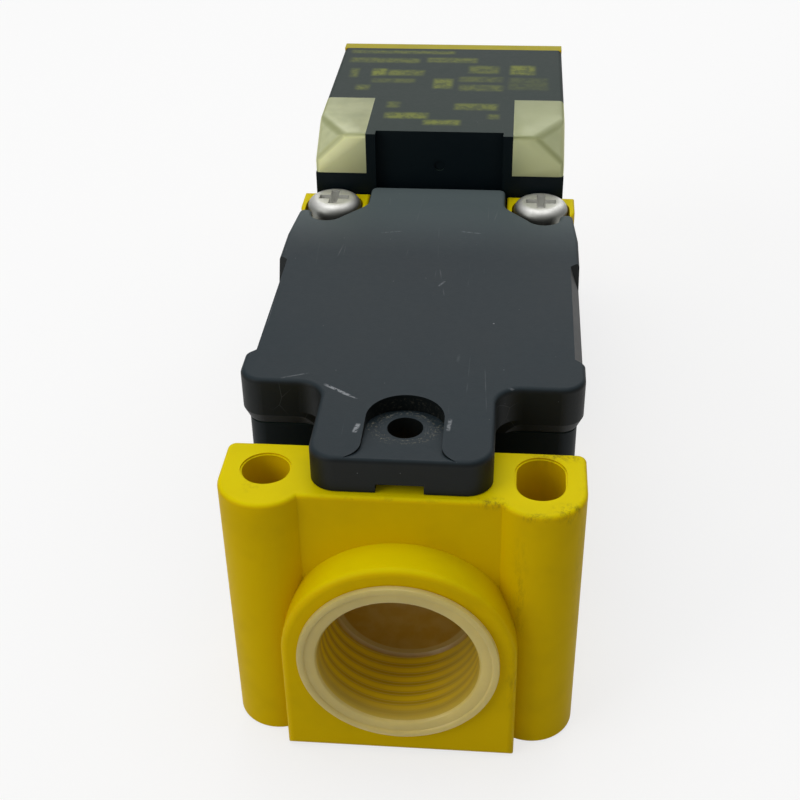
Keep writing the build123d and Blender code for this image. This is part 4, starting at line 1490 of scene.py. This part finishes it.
@dataclass
class Studio:
    """White floor, soft light and the camera."""

    floor_z: float = -0.0002
    floor_half: float = 1.5
    eye: Vector = field(default_factory=lambda: Vector((0.010842, -0.159437, 0.118675)))
    right: Vector = field(default_factory=lambda: Vector((0.99613, 0.0864, -0.01605)))
    up: Vector = field(default_factory=lambda: Vector((-0.03486, 0.55609, 0.83039)))
    lens_mm: float = 58.42
    sensor_mm: float = 36.0
    near_m: float = 0.005
    world_strength: float = 0.4
    shadow_share: float = 0.3
    bounce: float = 0.5
    white: float = 0.95

    @staticmethod
    def _seen(bench: Bench) -> Signal:
        """1 for camera, glossy and transmission rays."""
        rays = bench.node("ShaderNodeLightPath").socket.node.outputs
        camera = Signal(bench, rays["Is Camera Ray"])
        glossy = Signal(bench, rays["Is Glossy Ray"])
        through = Signal(bench, rays["Is Transmission Ray"])
        return camera.most(glossy).most(through)

    def floor(self) -> bpy.types.Object:
        """Lays the floor, white to the camera but for the object's shadow."""
        bench = Bench("floor_white")
        seen = self._seen(bench)
        tone = bench.mix(seen, (self.bounce,) * 3, (self.white,) * 3)
        plain = bench.node("ShaderNodeBsdfDiffuse", inputs={"Color": tone})
        glow = bench.node("ShaderNodeEmission", inputs={"Color": (1.0, 1.0, 1.0), "Strength": 1.0})
        share = seen * (1.0 - self.shadow_share)
        mixed = bench.node("ShaderNodeMixShader", inputs={0: share, 1: plain, 2: glow})
        bench.tree.links.new(mixed.socket, bench.output.inputs["Surface"])
        mesh = bmesh.new()
        bmesh.ops.create_grid(mesh, x_segments=1, y_segments=1, size=self.floor_half)
        bmesh.ops.translate(mesh, verts=mesh.verts, vec=(0.0, 0.0, self.floor_z))
        data = bpy.data.meshes.new("floor")
        mesh.to_mesh(data)
        mesh.free()
        data.materials.append(bench.material)
        floor = bpy.data.objects.new("floor", data)
        bpy.context.scene.collection.objects.link(floor)
        return floor

    def sky(self) -> None:
        """Sets the even surroundings, white to the camera and through clear pieces."""
        world = bpy.data.worlds.new("studio")
        bpy.context.scene.world = world
        world.use_nodes = True
        tree = world.node_tree
        tree.nodes.clear()
        rays = tree.nodes.new("ShaderNodeLightPath")
        seen = tree.nodes.new("ShaderNodeMath")
        seen.operation = Maths.MOST.value
        tree.links.new(rays.outputs["Is Camera Ray"], seen.inputs[0])
        tree.links.new(rays.outputs["Is Transmission Ray"], seen.inputs[1])
        strength = tree.nodes.new("ShaderNodeMapRange")
        strength.inputs["To Min"].default_value = self.world_strength
        strength.inputs["To Max"].default_value = 1.0
        tree.links.new(seen.outputs[0], strength.inputs["Value"])
        background = tree.nodes.new("ShaderNodeBackground")
        background.inputs["Color"].default_value = (1.0, 1.0, 1.0, 1.0)
        tree.links.new(strength.outputs["Result"], background.inputs["Strength"])
        output = tree.nodes.new("ShaderNodeOutputWorld")
        tree.links.new(background.outputs[0], output.inputs["Surface"])

    def lamps(self) -> None:
        """Hangs the soft lamps."""
        middle = Vector((0.0, 0.0, 0.02))
        for lamp in (
            Lamp("overhead", Vector((-0.05, 0.05, 0.62)), middle, 0.5, 0.5, 1.3),
            Lamp("front_left", Vector((-0.50, -0.37, 0.36)), middle, 0.35, 0.35, 1.2),
            Lamp("rear_strip", Vector((0.08, 0.55, 0.42)), middle, 0.7, 0.3, 1.0),
        ):
            lamp.build()

    def camera(self) -> None:
        """Sets the camera at the photograph's viewing angle."""
        data = bpy.data.cameras.new("camera")
        data.lens = self.lens_mm
        data.sensor_width = self.sensor_mm
        data.sensor_fit = "HORIZONTAL"
        data.clip_start = self.near_m
        camera = bpy.data.objects.new("camera", data)
        right = self.right.normalized()
        up = (self.up - right * self.up.dot(right)).normalized()
        back = right.cross(up)
        turn = Matrix((right, up, back)).transposed().to_4x4()
        camera.matrix_world = Matrix.Translation(self.eye) @ turn
        bpy.context.scene.collection.objects.link(camera)
        bpy.context.scene.camera = camera

    def build(self) -> None:
        """Sets up the whole studio."""
        bpy.context.scene.view_settings.view_transform = "Standard"
        self.camera()
        self.floor()
        self.sky()
        self.lamps()


def main() -> None:
    """Builds the dressed sensor in its studio."""
    logging.basicConfig(level=logging.INFO, format="%(name)s: %(message)s")
    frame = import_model()
    finishes = Finishes()
    Frame(frame, finishes).dress_nodes()
    EntryPlug().build(finishes)
    for side in Side:
        LedWindow(side).build(finishes)
    Studio().build()
    bpy.context.view_layer.update()


if __name__ == "__main__":
    main()
